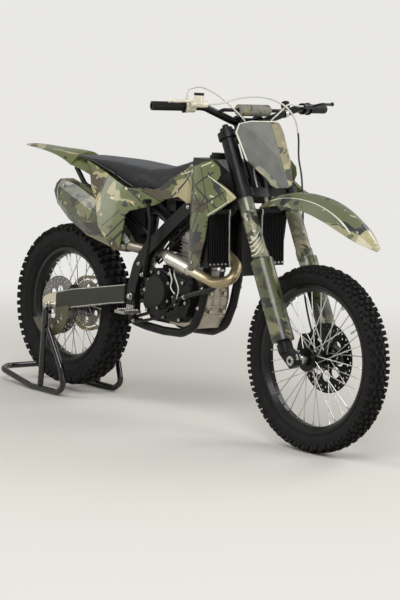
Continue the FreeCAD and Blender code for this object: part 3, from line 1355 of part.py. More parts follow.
def build_controls():
    """Footpegs, levers and the kick starter on the chassis."""
    pegs = []
    for side in (-1, 1):
        hanger = side_plate([(508, 392), (552, 392), (552, 430), (508, 430)], 122.3, 128.0)
        peg = side_plate([(540, 404), (600, 404), (600, PEG_TOP), (540, PEG_TOP)], 127.0, 212.0)
        slot = side_plate([(550, 400), (590, 400), (590, 420), (550, 420)], 138.0, 202.0)
        teeth = []
        for x in (545.0, 595.0):
            for index in range(TOOTH_COUNT):
                y = 140.0 + index * 11.0
                tooth = [
                    V(x - 4.0, y, PEG_TOP - 1.0),
                    V(x - 4.0, y + 7.0, PEG_TOP - 1.0),
                    V(x - 4.0, y + 3.5, PEG_TOP + 5.0),
                ]
                teeth.append(face(tooth).extrude(V(8.0, 0, 0)))
        piece = fused([hanger, peg.cut(slot)] + teeth)
        pegs.append(piece if side > 0 else mirrored(piece))
    save("footpegs", pegs)
    pedal = fused([
        tube([V(580, -138, 374), V(640, -146, 382), V(730, -150, 405), V(792, -150, 440)], 40.0, 6.0),
        rod(V(580, -146, 374), V(580, -104.5, 374), 9.0),
        side_plate([(780, 436), (812, 446), (812, 456), (780, 446)], -168, -138),
    ])
    shift = fused([
        tube([V(596, 118, 411), V(660, 142, 403), V(740, 146, 400)], 40.0, 6.0),
        rod(V(740, 130, 400), V(740, 172, 400), 8.0),
        rod(V(596, 60.0 + SEAT_GAP, 411), V(596, 124, 411), 8.0),
    ])
    save("foot_levers", [pedal, shift])
    kick = fused([
        rod(V(616, -142, 560), V(616, -112.3, 560), 11.0),
        tube([V(616, -136, 560), V(650, -150, 660), V(664, -153, 768), V(640, -153, 850)], 40.0, 8.0),
        rod(V(640, -140, 850), V(640, -172, 850), 9.0),
    ])
    save("kick_lever", [kick])


def build_stand():
    """The paddock stand under the rear axle."""
    z = STAND_TUBE_R
    ground = V(-70, STAND_Y, z)
    heel = V(-290, STAND_Y - 10, 50)
    split = ground + (heel - ground) * 0.6
    gap = (heel - ground).normalize() * SEAT_GAP
    runner = tube([
        V(30, STAND_Y, 268), V(128, STAND_Y, 120), V(152, STAND_Y, 42), V(112, STAND_Y, z), ground, split,
    ], 45.0, STAND_TUBE_R)
    upright = rod(V(-6, STAND_Y, 2.0 * z + 3.0 * SEAT_GAP), V(9, STAND_Y, 348), STAND_TUBE_R)
    hook_z = REAR_AXLE.z - AXLE_NUT_R - HOOK_R - SEAT_GAP
    hook = rod(V(3, STAND_Y, hook_z), V(3, ARM_IN + ARM_T + 2.0 * SEAT_GAP, hook_z), HOOK_R)
    bend = tube([
        split + gap, heel, V(-332, STAND_Y - 60, 54), V(-332, -STAND_Y + 60, 54),
        flipped(heel), flipped(split + gap),
    ], 60.0, STAND_TUBE_R)
    save("stand_runners", both(runner))
    save("stand_uprights", both(fused([upright, hook])))
    save("stand_rear_bar", [bend])


os.makedirs("parts", exist_ok=True)
build_wheels()
build_fork()
build_front()
build_frame()
build_swingarm()
build_engine()
build_body()
build_controls()
build_stand()
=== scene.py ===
"""Dresses a motocross motorcycle on its paddock stand around its CAD frame."""
import logging
import math
from collections.abc import Callable, Iterable
from dataclasses import dataclass, field
from enum import Enum

import bmesh
import bpy
from mathutils import Matrix, Vector


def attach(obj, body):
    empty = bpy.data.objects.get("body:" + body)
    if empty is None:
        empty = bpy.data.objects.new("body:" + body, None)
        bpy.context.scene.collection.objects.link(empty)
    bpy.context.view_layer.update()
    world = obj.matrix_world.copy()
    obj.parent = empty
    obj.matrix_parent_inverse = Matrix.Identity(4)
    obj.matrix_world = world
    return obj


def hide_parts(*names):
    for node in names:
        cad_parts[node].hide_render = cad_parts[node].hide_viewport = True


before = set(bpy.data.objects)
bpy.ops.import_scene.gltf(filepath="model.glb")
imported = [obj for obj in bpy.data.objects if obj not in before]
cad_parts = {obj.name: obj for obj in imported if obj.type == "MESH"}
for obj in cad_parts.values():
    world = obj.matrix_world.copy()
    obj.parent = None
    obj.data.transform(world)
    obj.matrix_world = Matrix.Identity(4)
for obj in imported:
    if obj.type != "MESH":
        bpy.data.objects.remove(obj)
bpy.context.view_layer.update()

LOG = logging.getLogger("motorcycle")
MM = 0.001
METRE_MM = 1000.0
# Nearly all of a noise texture's values lie between these two.
NOISE_LOW = 0.3
NOISE_HIGH = 0.7
# A wave texture at scale 1 has a wave every 314 mm, so at this scale one wave holds two threads.
WEAVE_SCALE = 160.0
# A face faces a direction when more than this share of its unit normal runs along it.
FACES = 0.9

# The CAD's own layout, in mm: x from the rear axle, moved back to the model's middle.
CENTRE_X = 736.0
FRONT_AXLE = Vector((1475.0, 0.0, 346.0))
REAR_AXLE = Vector((0.0, 0.0, 360.0))
FRONT_RIM_R = 275.0
REAR_RIM_R = 237.0
RAKE = math.radians(27.0)
FORK_AHEAD = Vector((math.cos(RAKE), 0.0, math.sin(RAKE)))
FORK_UP = Vector((-math.sin(RAKE), 0.0, math.cos(RAKE)))
FORK_FOOT = FRONT_AXLE - 27.0 * FORK_AHEAD


def fork_at(n: float, y: float, s: float) -> Vector:
    """A layout point n ahead of the fork legs' axis, y to the left and s up from the axle."""
    return FORK_FOOT + FORK_AHEAD * n + FORK_UP * s + Vector((0.0, y, 0.0))


def placed(point: Vector) -> Vector:
    """A layout point in the model's metres."""
    return (point - Vector((CENTRE_X, 0.0, 0.0))) * MM


def around(centre: Vector, y: float, radius: float, turn: float) -> Vector:
    """A layout point on a circle about the Y axis through centre, turn radians up from forward."""
    return centre + Vector((radius * math.cos(turn), y, radius * math.sin(turn)))


def linear(hex_colour: str) -> tuple[float, float, float, float]:
    """Turns an sRGB hex colour into linear light.

    Args:
        hex_colour: six digits after a hash sign.

    Returns:
        Red, green, blue and an alpha of one.
    """
    channels = [int(hex_colour[i:i + 2], 16) / 255.0 for i in (1, 3, 5)]
    curve = [c / 12.92 if c <= 0.04045 else ((c + 0.055) / 1.055) ** 2.4 for c in channels]
    return (curve[0], curve[1], curve[2], 1.0)


def add_node(
    tree: bpy.types.NodeTree,
    kind: str,
    settings: dict[str, object] | None = None,
    inputs: dict[str, object] | None = None,
) -> bpy.types.Node:
    """Adds one shader node.

    Args:
        tree: the material's node tree.
        kind: the node's type name.
        settings: attributes of the node, by name.
        inputs: values or output sockets for its inputs, by name or index.

    Returns:
        The new node.
    """
    node = tree.nodes.new(kind)
    for name, value in (settings or {}).items():
        setattr(node, name, value)
    for key, value in (inputs or {}).items():
        if isinstance(value, bpy.types.NodeSocket):
            tree.links.new(value, node.inputs[key])
        else:
            node.inputs[key].default_value = value
    return node


def ramp(
    tree: bpy.types.NodeTree,
    factor: bpy.types.NodeSocket,
    stops: list[tuple[float, str]],
    interpolation: str = "LINEAR",
) -> bpy.types.NodeSocket:
    """Adds a colour ramp.

    Args:
        tree: the material's node tree.
        factor: the socket that drives the ramp.
        stops: places from 0 to 1 with their hex colours.
        interpolation: how colours pass from stop to stop.

    Returns:
        The ramp's colour socket.
    """
    node = add_node(tree, "ShaderNodeValToRGB", inputs={"Fac": factor})
    elements = node.color_ramp.elements
    node.color_ramp.interpolation = interpolation
    while len(elements) < len(stops):
        elements.new(1.0)
    for element, (place, colour) in zip(elements, stops):
        element.position = place
        element.color = linear(colour)
    return node.outputs["Color"]


class Grain(Enum):
    """How a surface's fine relief is laid out."""

    SPECKLE = "speckle"
    BRUSHED = "brushed"
    CELLS = "cells"
    WEAVE = "weave"


@dataclass(frozen=True)
class Finish:
    """A surface, named for its material and how that was made.

    Roughness varies by spread about its mean, colour by mottle, and the
    relief is grain_mm across and height_mm deep.
    """

    name: str
    colour: str
    roughness: float
    metallic: float = 0.0
    ior: float = 1.5
    coat: float = 0.0
    grain: Grain = Grain.SPECKLE
    grain_mm: float = 1.2
    height_mm: float = 0.02
    mottle: float = 0.12
    mottle_mm: float = 45.0
    spread: float = 0.08

    def coordinates(self, tree: bpy.types.NodeTree) -> bpy.types.NodeSocket:
        """The object's own coordinates, in metres."""
        return add_node(tree, "ShaderNodeTexCoord").outputs["Object"]

    def noise(
        self, tree: bpy.types.NodeTree, size_mm: float, detail: float = 3.0, distortion: float = 0.0,
    ) -> bpy.types.NodeSocket:
        """Soft noise with features of a real size.

        Args:
            tree: the material's node tree.
            size_mm: how far apart its features lie.
            detail: octaves of finer noise.
            distortion: how far the noise is stirred.

        Returns:
            The noise's factor socket.
        """
        node = add_node(tree, "ShaderNodeTexNoise", inputs={
            "Vector": self.coordinates(tree), "Scale": METRE_MM / size_mm, "Detail": detail,
            "Distortion": distortion,
        })
        return node.outputs["Fac"]

    def base(self, tree: bpy.types.NodeTree) -> bpy.types.NodeSocket:
        """The colour, a little darker and lighter in soft patches.

        Args:
            tree: the material's node tree.

        Returns:
            The colour's socket.
        """
        factor = self.noise(tree, self.mottle_mm)
        value = add_node(tree, "ShaderNodeMapRange", inputs={
            "Value": factor, "From Min": NOISE_LOW, "From Max": NOISE_HIGH,
            "To Min": 1.0 - self.mottle, "To Max": 1.0 + self.mottle,
        })
        tint = add_node(tree, "ShaderNodeHueSaturation", inputs={
            "Color": linear(self.colour), "Value": value.outputs["Result"],
        })
        return tint.outputs["Color"]

    def relief(self, tree: bpy.types.NodeTree) -> bpy.types.NodeSocket:
        """The height of the fine relief, from 0 to 1.

        Args:
            tree: the material's node tree.

        Returns:
            The height's socket.
        """
        if self.grain is Grain.CELLS:
            cells = add_node(tree, "ShaderNodeTexVoronoi", {"feature": "SMOOTH_F1"}, {
                "Vector": self.coordinates(tree), "Scale": METRE_MM / self.grain_mm,
            })
            return cells.outputs["Distance"]
        if self.grain is Grain.BRUSHED:
            stretch = add_node(tree, "ShaderNodeMapping", inputs={
                "Vector": self.coordinates(tree), "Scale": (0.08, 1.0, 1.0),
            })
            lines = add_node(tree, "ShaderNodeTexNoise", inputs={
                "Vector": stretch.outputs["Vector"], "Scale": METRE_MM / self.grain_mm, "Detail": 2.0,
            })
            return lines.outputs["Fac"]
        if self.grain is Grain.WEAVE:
            waves = []
            for direction in ("X", "Z"):
                wave = add_node(tree, "ShaderNodeTexWave", {"bands_direction": direction}, {
                    "Vector": self.coordinates(tree), "Scale": WEAVE_SCALE / self.grain_mm,
                })
                waves.append(wave.outputs["Fac"])
            both = add_node(tree, "ShaderNodeMath", {"operation": "MULTIPLY"}, {0: waves[0], 1: waves[1]})
            return both.outputs["Value"]
        return self.noise(tree, self.grain_mm, detail=4.0)

    def shine(self, tree: bpy.types.NodeTree) -> bpy.types.NodeSocket:
        """The roughness, varied by spread about its mean.

        Args:
            tree: the material's node tree.

        Returns:
            The roughness's socket.
        """
        rough = add_node(tree, "ShaderNodeMapRange", inputs={
            "Value": self.noise(tree, self.mottle_mm * 0.5, detail=5.0),
            "From Min": NOISE_LOW, "From Max": NOISE_HIGH,
            "To Min": max(self.roughness - self.spread, 0.03), "To Max": min(self.roughness + self.spread, 1.0),
        })
        return rough.outputs["Result"]

    def metal(self, tree: bpy.types.NodeTree) -> float | bpy.types.NodeSocket:
        """How metallic the surface is."""
        return self.metallic

    def material(self) -> bpy.types.Material:
        """Builds the finish once.

        Returns:
            The material, the same one at each call.
        """
        known = bpy.data.materials.get(self.name)
        if known:
            return known
        made = bpy.data.materials.new(self.name)
        made.use_nodes = True
        tree = made.node_tree
        tree.nodes.clear()
        bump = add_node(tree, "ShaderNodeBump", inputs={
            "Height": self.relief(tree), "Distance": self.height_mm * MM, "Strength": 1.0,
        })
        shader = add_node(tree, "ShaderNodeBsdfPrincipled", inputs={
            "Base Color": self.base(tree), "Roughness": self.shine(tree), "Metallic": self.metal(tree),
            "IOR": self.ior, "Coat Weight": self.coat, "Normal": bump.outputs["Normal"],
        })
        add_node(tree, "ShaderNodeOutputMaterial", inputs={"Surface": shader.outputs["BSDF"]})
        return made


class Measure(Enum):
    """What a zone is measured by."""

    ALONG = "distance along a direction, in mm"
    ACROSS = "distance from the motorcycle's middle plane, in mm"
    ROUND = "distance from a crosswise axis, in mm"
    FACING = "how squarely the surface faces a direction or its opposite, from 0 to 1"


@dataclass(frozen=True)
class Zone:
    """A band of some measure of place or facing; direction and centre are in layout mm."""

    measure: Measure
    low: float
    high: float = 10000.0
    direction: tuple[float, float, float] = (1.0, 0.0, 0.0)
    centre: tuple[float, float, float] = (0.0, 0.0, 0.0)

    def value(self, tree: bpy.types.NodeTree) -> bpy.types.NodeSocket:
        """The measure itself, before the band is cut out of it.

        Args:
            tree: the material's node tree.

        Returns:
            Its socket, in mm or as a share.
        """
        if self.measure is Measure.FACING:
            normal = add_node(tree, "ShaderNodeNewGeometry").outputs["Normal"]
            facing = add_node(tree, "ShaderNodeVectorMath", {"operation": "DOT_PRODUCT"}, {
                0: normal, 1: self.direction,
            })
            size = add_node(tree, "ShaderNodeMath", {"operation": "ABSOLUTE"}, {0: facing.outputs["Value"]})
            return size.outputs["Value"]
        place = add_node(tree, "ShaderNodeTexCoord").outputs["Object"]
        offset = add_node(tree, "ShaderNodeVectorMath", {"operation": "SUBTRACT"}, {
            0: place, 1: tuple(placed(Vector(self.centre))),
        })
        mm = add_node(tree, "ShaderNodeVectorMath", {"operation": "SCALE"}, {
            0: offset.outputs["Vector"], "Scale": 1.0 / MM,
        })
        if self.measure is Measure.ALONG:
            along = add_node(tree, "ShaderNodeVectorMath", {"operation": "DOT_PRODUCT"}, {
                0: mm.outputs["Vector"], 1: self.direction,
            })
            return along.outputs["Value"]
        kept = (0.0, 1.0, 0.0) if self.measure is Measure.ACROSS else (1.0, 0.0, 1.0)
        flat = add_node(tree, "ShaderNodeVectorMath", {"operation": "MULTIPLY"}, {
            0: mm.outputs["Vector"], 1: kept,
        })
        length = add_node(tree, "ShaderNodeVectorMath", {"operation": "LENGTH"}, {0: flat.outputs["Vector"]})
        return length.outputs["Value"]

    def mask(self, tree: bpy.types.NodeTree) -> bpy.types.NodeSocket:
        """A socket that is 1 in the zone and 0 beside it.

        Args:
            tree: the material's node tree.

        Returns:
            The mask's socket.
        """
        value = self.value(tree)
        above = add_node(tree, "ShaderNodeMath", {"operation": "GREATER_THAN"}, {0: value, 1: self.low})
        below = add_node(tree, "ShaderNodeMath", {"operation": "LESS_THAN"}, {0: value, 1: self.high})
        inside = add_node(tree, "ShaderNodeMath", {"operation": "MULTIPLY"}, {
            0: above.outputs["Value"], 1: below.outputs["Value"],
        })
        return inside.outputs["Value"]


def side_line(start: tuple[float, float], end: tuple[float, float], width: float) -> tuple[Zone, Zone]:
    """The two zones that make a printed line in the side view.

    Args:
        start: layout x and z where the line begins.
        end: layout x and z where it ends.
        width: the line's width in mm.

    Returns:
        A band across the line and a band along it.
    """
    run = Vector((end[0] - start[0], 0.0, end[1] - start[1]))
    along = run.normalized()
    over = (-along.z, 0.0, along.x)
    centre = (start[0], 0.0, start[1])
    return (
        Zone(Measure.ALONG, -0.5 * width, 0.5 * width, over, centre),
        Zone(Measure.ALONG, 0.0, run.length, tuple(along), centre),
    )


@dataclass(frozen=True)
class ZonedFinish(Finish):
    """A ground finish with other finishes in zones of it, the later ones on top."""

    ground: Finish | None = None
    zones: tuple[tuple[tuple[Zone, ...], Finish], ...] = ()

    def layered(
        self, tree: bpy.types.NodeTree, kind: str, read: Callable[[Finish], object],
    ) -> object:
        """Lays each zone's value over the ground's.

        Args:
            tree: the material's node tree.
            kind: RGBA for colours or FLOAT for numbers.
            read: takes the value from a finish.

        Returns:
            The mixed socket.
        """
        first, out = (6, 2) if kind == "RGBA" else (2, 0)
        result = read(self.ground)
        for limits, finish in self.zones:
            mask = limits[0].mask(tree)
            for limit in limits[1:]:
                both = add_node(tree, "ShaderNodeMath", {"operation": "MULTIPLY"}, {0: mask, 1: limit.mask(tree)})
                mask = both.outputs["Value"]
            mix = add_node(tree, "ShaderNodeMix", {"data_type": kind}, {
                0: mask, first: result, first + 1: read(finish),
            })
            result = mix.outputs[out]
        return result

    def base(self, tree: bpy.types.NodeTree) -> bpy.types.NodeSocket:
        """The colours of ground and zones."""
        return self.layered(tree, "RGBA", lambda finish: finish.base(tree))

    def shine(self, tree: bpy.types.NodeTree) -> bpy.types.NodeSocket:
        """The roughness of ground and zones."""
        return self.layered(tree, "FLOAT", lambda finish: finish.shine(tree))

    def metal(self, tree: bpy.types.NodeTree) -> bpy.types.NodeSocket:
        """Where the surface is metal."""
        return self.layered(tree, "FLOAT", lambda finish: finish.metal(tree))


def zoned(name: str, ground: Finish, *zones: tuple[tuple[Zone, ...], Finish]) -> ZonedFinish:
    """A zoned finish with its ground's own relief and coat.

    Args:
        name: the finish's name.
        ground: the finish beside all zones.
        zones: limits that hold together, each group with its finish.

    Returns:
        The zoned finish.
    """
    return ZonedFinish(
        name, ground.colour, ground.roughness, ground.metallic, ground.ior, ground.coat, ground.grain,
        ground.grain_mm, ground.height_mm, ground.mottle, ground.mottle_mm, ground.spread, ground, zones,
    )


@dataclass(frozen=True)
class CamouflageFilm(Finish):
    """Printed film on plastic: patches of four dull colours with hard, ragged edges."""

    patch_mm: float = 150.0
    tan: str = "#a39a72"
    brown: str = "#4a4029"
    dark: str = "#23251a"
    pale: str = "#c9c3a0"

    def patches(
        self, tree: bpy.types.NodeTree, size_mm: float, shift: float, share: float,
    ) -> bpy.types.NodeSocket:
        """A mask of hard-edged patches.

        Args:
            tree: the material's node tree.
            size_mm: how far apart the patches lie.
            shift: moves the mask, so that layers differ.
            share: the noise level above which a patch begins.

        Returns:
            A socket that is 1 in a patch and 0 beside it.
        """
        moved = add_node(tree, "ShaderNodeMapping", inputs={
            "Vector": self.coordinates(tree), "Location": (shift, -shift, 0.5 * shift), "Scale": (0.7, 1.0, 1.25),
        })
        noise = add_node(tree, "ShaderNodeTexNoise", inputs={
            "Vector": moved.outputs["Vector"], "Scale": METRE_MM / size_mm, "Detail": 2.2,
            "Roughness": 0.5, "Distortion": 0.6,
        })
        step = add_node(tree, "ShaderNodeMath", {"operation": "GREATER_THAN"}, {0: noise.outputs["Fac"], 1: share})
        return step.outputs["Value"]

    def base(self, tree: bpy.types.NodeTree) -> bpy.types.NodeSocket:
        """The four patch colours laid over the ground colour.

        Args:
            tree: the material's node tree.

        Returns:
            The colour's socket.
        """
        layers = [
            (self.tan, self.patch_mm, 0.37, 0.56),
            (self.brown, self.patch_mm * 0.8, 1.91, 0.57),
            (self.dark, self.patch_mm * 0.55, 3.3, 0.62),
            (self.pale, self.patch_mm * 0.45, 5.2, 0.68),
        ]
        colour: object = linear(self.colour)
        for shade, size_mm, shift, share in layers:
            mix = add_node(tree, "ShaderNodeMix", {"data_type": "RGBA"}, {
                0: self.patches(tree, size_mm, shift, share), 6: colour, 7: linear(shade),
            })
            colour = mix.outputs[2]
        return colour


@dataclass(frozen=True)
class HeatTintedSteel(Finish):
    """Bare stainless pipe, straw and bronze near the port and grey further back."""

    front_x: float = 0.36
    back_x: float = -0.25

    def base(self, tree: bpy.types.NodeTree) -> bpy.types.NodeSocket:
        """The tint by place along the pipe, stirred by soft noise.

        Args:
            tree: the material's node tree.

        Returns:
            The colour's socket.
        """
        split = add_node(tree, "ShaderNodeSeparateXYZ", inputs={"Vector": self.coordinates(tree)})
        wander = add_node(tree, "ShaderNodeMath", {"operation": "MULTIPLY_ADD"}, {
            0: self.noise(tree, 60.0), 1: 0.08, 2: split.outputs["X"],
        })
        place = add_node(tree, "ShaderNodeMapRange", inputs={
            "Value": wander.outputs["Value"], "From Min": self.back_x, "From Max": self.front_x,
        })
        return ramp(tree, place.outputs["Result"], [
            (0.0, "#8d8577"), (0.35, "#a49c8c"), (0.5, "#cfcac0"), (0.68, "#d6d0c0"),
            (0.78, "#c9bfa6"), (0.9, "#b8a987"), (1.0, "#a39474"),
        ])


# Powder coat: an even black with a faint grain in its sheen.
POWDER_BLACK = Finish("powder_coated_steel_black", "#090909", 0.48, ior=1.38, grain_mm=1.6, height_mm=0.03)
# Stoved enamel: a wet-looking black with sharp highlights.
GLOSS_BLACK = Finish("enamelled_steel_black", "#080808", 0.2, coat=0.5, height_mm=0.01)
# Black anodising: satin, with a little of the metal in its highlights.
ANODISED_BLACK = Finish(
    "anodised_aluminium_black", "#0c0c0d", 0.4, metallic=0.25, ior=1.4, grain_mm=0.8, height_mm=0.01,
)
# Printed film: hard-edged patches of green, tan, brown and black under a clear satin.
CAMOUFLAGE = CamouflageFilm("camouflage_film_on_polypropylene", "#5d6438", 0.34, coat=0.35, height_mm=0.012)
# The same film in greys with small patches, on the fork and the plate's foot.
GREY_CAMOUFLAGE = CamouflageFilm(
    "camouflage_film_greyed", "#7b7d68", 0.36, coat=0.3, height_mm=0.012, patch_mm=70.0,
    tan="#9c937a", brown="#4b4a40", dark="#2f3029", pale="#b9b7a8",
)
# The same film, darker, on the muffler and the fork guards.
MUFFLER_CAMOUFLAGE = CamouflageFilm(
    "camouflage_film_dark", "#4d5236", 0.34, coat=0.35, height_mm=0.012, patch_mm=110.0,
    tan="#777556", brown="#39342a", dark="#24261e", pale="#8c8a78",
)
# The same film, mostly tan, on one side of the number plate.
TAN_CAMOUFLAGE = CamouflageFilm(
    "camouflage_film_tan", "#867d58", 0.36, coat=0.3, height_mm=0.004, patch_mm=90.0,
    tan="#a59b75", brown="#3d3a28", dark="#24251d", pale="#5a6040",
)
# The same film, mostly brown, on the lower part of the shrouds.
BROWN_CAMOUFLAGE = CamouflageFilm(
    "camouflage_film_brown", "#40372b", 0.34, coat=0.35, height_mm=0.006, patch_mm=130.0,
    tan="#565b36", brown="#2b2820", dark="#1c1c17", pale="#8a8260",
)
# The same film with slate patches, on the front fender.
FENDER_CAMOUFLAGE = CamouflageFilm(
    "camouflage_film_slate", "#5c6346", 0.32, coat=0.35, height_mm=0.0, patch_mm=125.0,
    tan="#8f8c6c", brown="#34373a", dark="#26282b", pale="#a7a58c",
)
# Matt film: a flat grey green, a little cloudy.
PLATE_FILM = Finish("matt_film_grey_green", "#54564f", 0.4, coat=0.2, height_mm=0.004, mottle=0.25)
# The same film one shade paler, so that a panel stands out.
PLATE_PALE = Finish("matt_film_pale_panel", "#61635b", 0.4, coat=0.2, height_mm=0.004, mottle=0.2)
# Matt print: thin lines that look nearly black on the film.
LINE_FILM = Finish("matt_film_black_line", "#1b1d15", 0.4, height_mm=0.01)
# Matt print and painted highlight: thin lines that catch the eye as nearly white, printed on the fork, plate and
# shrouds, and painted as a highlight along the front fender's sides.
PALE_PRINT_AND_HIGHLIGHT_LINE = Finish("pale_line_print_and_painted_highlight", "#d3d1bf", 0.38, height_mm=0.01)
# Matt film: a flat, dusty cream.
CREAM_FILM = Finish("matt_film_cream", "#a9a07c", 0.4, height_mm=0.0, mottle=0.08)
# Moulded polyamide: a dull bronze with a soft grain.
BRONZE_PLASTIC = Finish("moulded_polyamide_bronze", "#4f4936", 0.42, grain_mm=0.9, height_mm=0.03)
# Moulded polypropylene: a grained black that hardly shines; the same black also fills two gaps in the engine bay
# as painted shade.
BLACK_PLASTIC_AND_PAINTED_SHADE = Finish("moulded_polypropylene_black_and_painted_shade", "#0a0a0a", 0.5, ior=1.38, grain_mm=0.9, height_mm=0.04)
# Blow-moulded polyethylene: a deep green with a waxy sheen.
TANK_PLASTIC = Finish("moulded_polyethylene_dark_green", "#1c2018", 0.35, height_mm=0.02)
# Vulcanised rubber: a flat, dusty black.
TYRE_RUBBER = Finish("vulcanised_rubber_tyre", "#0e0d0d", 0.76, ior=1.36, grain_mm=1.4, height_mm=0.06, mottle=0.2)
# Moulded rubber: small cells that break up the light.
GRIP_RUBBER = Finish(
    "moulded_rubber_grip", "#0b0b0b", 0.65, ior=1.38, grain_mm=2.2, height_mm=0.2, grain=Grain.CELLS,
)
# Extruded rubber: a smooth dull black.
HOSE_RUBBER = Finish("extruded_rubber_hose", "#111111", 0.5, grain_mm=1.2, height_mm=0.03)
# Extruded sheath: a clean pale grey.
CABLE_SHEATH = Finish("extruded_cable_sheath_pale", "#c9c8c0", 0.4, height_mm=0.01, mottle=0.06)
# Black anodised rim under a thin clear coat: a narrow bright line round its edge.
RIM_ANODISED = Finish(
    "anodised_aluminium_rim_black", "#0a0a0a", 0.34, metallic=0.15, ior=1.4, coat=0.12, height_mm=0.0,
)
# Drawn stainless wire: bright, thin lines.
SPOKE_STEEL = Finish(
    "drawn_stainless_steel", "#cfcfcd", 0.34, metallic=1.0, height_mm=0.0, mottle=0.05, spread=0.02,
)
# Zinc plate: bright, slightly milky screw heads.
ZINC_STEEL = Finish("zinc_plated_steel", "#bdbdb8", 0.3, metallic=1.0, height_mm=0.002)
# Blackened steel, brushed: dark, with fine streaks of light.
BLACK_STEEL = Finish("blackened_steel_disc", "#2a2a2a", 0.34, metallic=1.0, grain=Grain.BRUSHED, height_mm=0.01)
# Ground stainless: grey, with fine streaks of light.
GROUND_STEEL = Finish("ground_stainless_disc", "#83827f", 0.34, metallic=1.0, grain=Grain.BRUSHED, height_mm=0.01)
# Sand cast aluminium: a dull grey with a coarse grain.
CAST_ALUMINIUM = Finish("sand_cast_aluminium", "#a3a19b", 0.44, metallic=1.0, grain_mm=2.6, height_mm=0.02)
# Tumbled casting: rounder in its shine and a little yellow.
WARM_ALUMINIUM = Finish("tumbled_cast_aluminium", "#b4ad9e", 0.36, metallic=0.9, grain_mm=2.6, height_mm=0.02)
# Machined aluminium: clean and bright.
MACHINED_ALUMINIUM = Finish("machined_aluminium", "#cbcac4", 0.3, metallic=1.0, height_mm=0.002)
# Polished stainless: soft mirror streaks along the chamber.
POLISHED_STEEL = Finish("polished_stainless_chamber", "#cfcabd", 0.34, metallic=0.9, height_mm=0.0, spread=0.03)
# Clear anodising on a milled block: pale, with a warm tint.
PALE_BLOCK = Finish("clear_anodised_block", "#cdc6ae", 0.36, metallic=0.8, height_mm=0.01)
# Black anodised hub: dark, with metal in its highlights.
HUB_ALUMINIUM = Finish("anodised_aluminium_hub_black", "#151515", 0.36, metallic=0.5, height_mm=0.01)
# Machined hub: grey metal.
REAR_HUB_ALUMINIUM = Finish("machined_aluminium_hub", "#77777a", 0.36, metallic=1.0, height_mm=0.01)
# Crackle paint on a casting: a rough black that scatters the light.
ENGINE_BLACK = Finish(
    "crackle_painted_magnesium", "#0a0a0a", 0.46, ior=1.4, grain_mm=1.4, height_mm=0.08, mottle=0.2,
)
# Olive anodising: a dark satin green.
ARM_ALUMINIUM = Finish("anodised_aluminium_olive", "#2b2d20", 0.38, metallic=0.3, height_mm=0.004)
# Stainless pipe that has been hot: straw and bronze near the port.
HEADER_STEEL = HeatTintedSteel("heat_tinted_stainless", "#a49c8c", 0.4, metallic=0.85, height_mm=0.003)
# Woven nylon: a matt cloth whose threads, drawn coarser than real ones, just show.
PAD_CLOTH = CamouflageFilm(
    "woven_nylon_pad", "#7a7a70", 0.8, grain=Grain.WEAVE, grain_mm=2.4, height_mm=0.25, patch_mm=80.0,
    tan="#8d8460", brown="#5b5263", dark="#414a3a", pale="#a5a59a",
)
# Gold plated links: a dull yellow metal.
CHAIN_GOLD = Finish("gold_plated_chain_steel", "#978a66", 0.36, metallic=1.0, height_mm=0.002)
# Clear anodising: a pale, warm satin.
MASTER_PALE = Finish("clear_anodised_aluminium_pale", "#d6d0bd", 0.4, metallic=0.3, height_mm=0.004)
# Hardened steel: a slightly yellow grey metal.
SPROCKET_STEEL = Finish("hardened_steel_sprocket", "#8b8878", 0.35, metallic=1.0, height_mm=0.01)
# Painted spring: a smooth black gloss.
SPRING_STEEL = Finish("painted_spring_steel", "#1b1b1b", 0.35, coat=0.3, height_mm=0.01)

# The fork's line, as zones take it.
FORK_CENTRE = tuple(FORK_FOOT)
FORK_DIRECTION = tuple(FORK_UP)


def up_fork(low: float, high: float = 2000.0) -> Zone:
    """The zone between two heights up the fork."""
    return Zone(Measure.ALONG, low, high, FORK_DIRECTION, FORK_CENTRE)


def fork_stripe(low: float, high: float) -> tuple[Zone, ...]:
    """One slanted stripe on the fork's film, low to high across it."""
    slant = tuple((FORK_UP + Vector((0.0, -1.1, 0.0))).normalized())
    return (Zone(Measure.ALONG, low, high, slant, FORK_CENTRE), up_fork(420.0, 505.0), Zone(Measure.ACROSS, 116.0))


def plate_edge(y: float, s: float, across: float, upward: float) -> tuple[Zone]:
    """A pale line along one edge of the number plate.

    Args:
        y: the edge's place to the left.
        s: its place up the plate.
        across: the left part of its outward normal.
        upward: the upward part of its outward normal.

    Returns:
        The line's one zone.
    """
    spot = fork_at(0.0, y, 650.0 + s)
    outward = Vector((0.0, across, 0.0)) + FORK_UP * upward
    return (Zone(Measure.ALONG, -3.5, 50.0, tuple(outward), tuple(spot)),)


# The fork from foot to head: anodised, filmed with stripes, bare grey green, anodised.
FORK_FINISH = zoned(
    "hard_anodised_and_filmed_fork", ANODISED_BLACK,
    ((up_fork(84.0, 590.0),), GREY_CAMOUFLAGE),
    ((up_fork(590.0, 646.0),), Finish("satin_anodised_grey_green", "#6f7165", 0.34, metallic=0.6, height_mm=0.01)),
    *((fork_stripe(low, low + 3.5), PALE_PRINT_AND_HIGHLIGHT_LINE) for low in (376.0, 387.0, 398.0, 409.0, 420.0)),
)
# The plate's fields are cut across this direction.
PLATE_SLANT = (Vector((0.0, 0.75, 0.0)) + FORK_UP * 0.66).normalized()
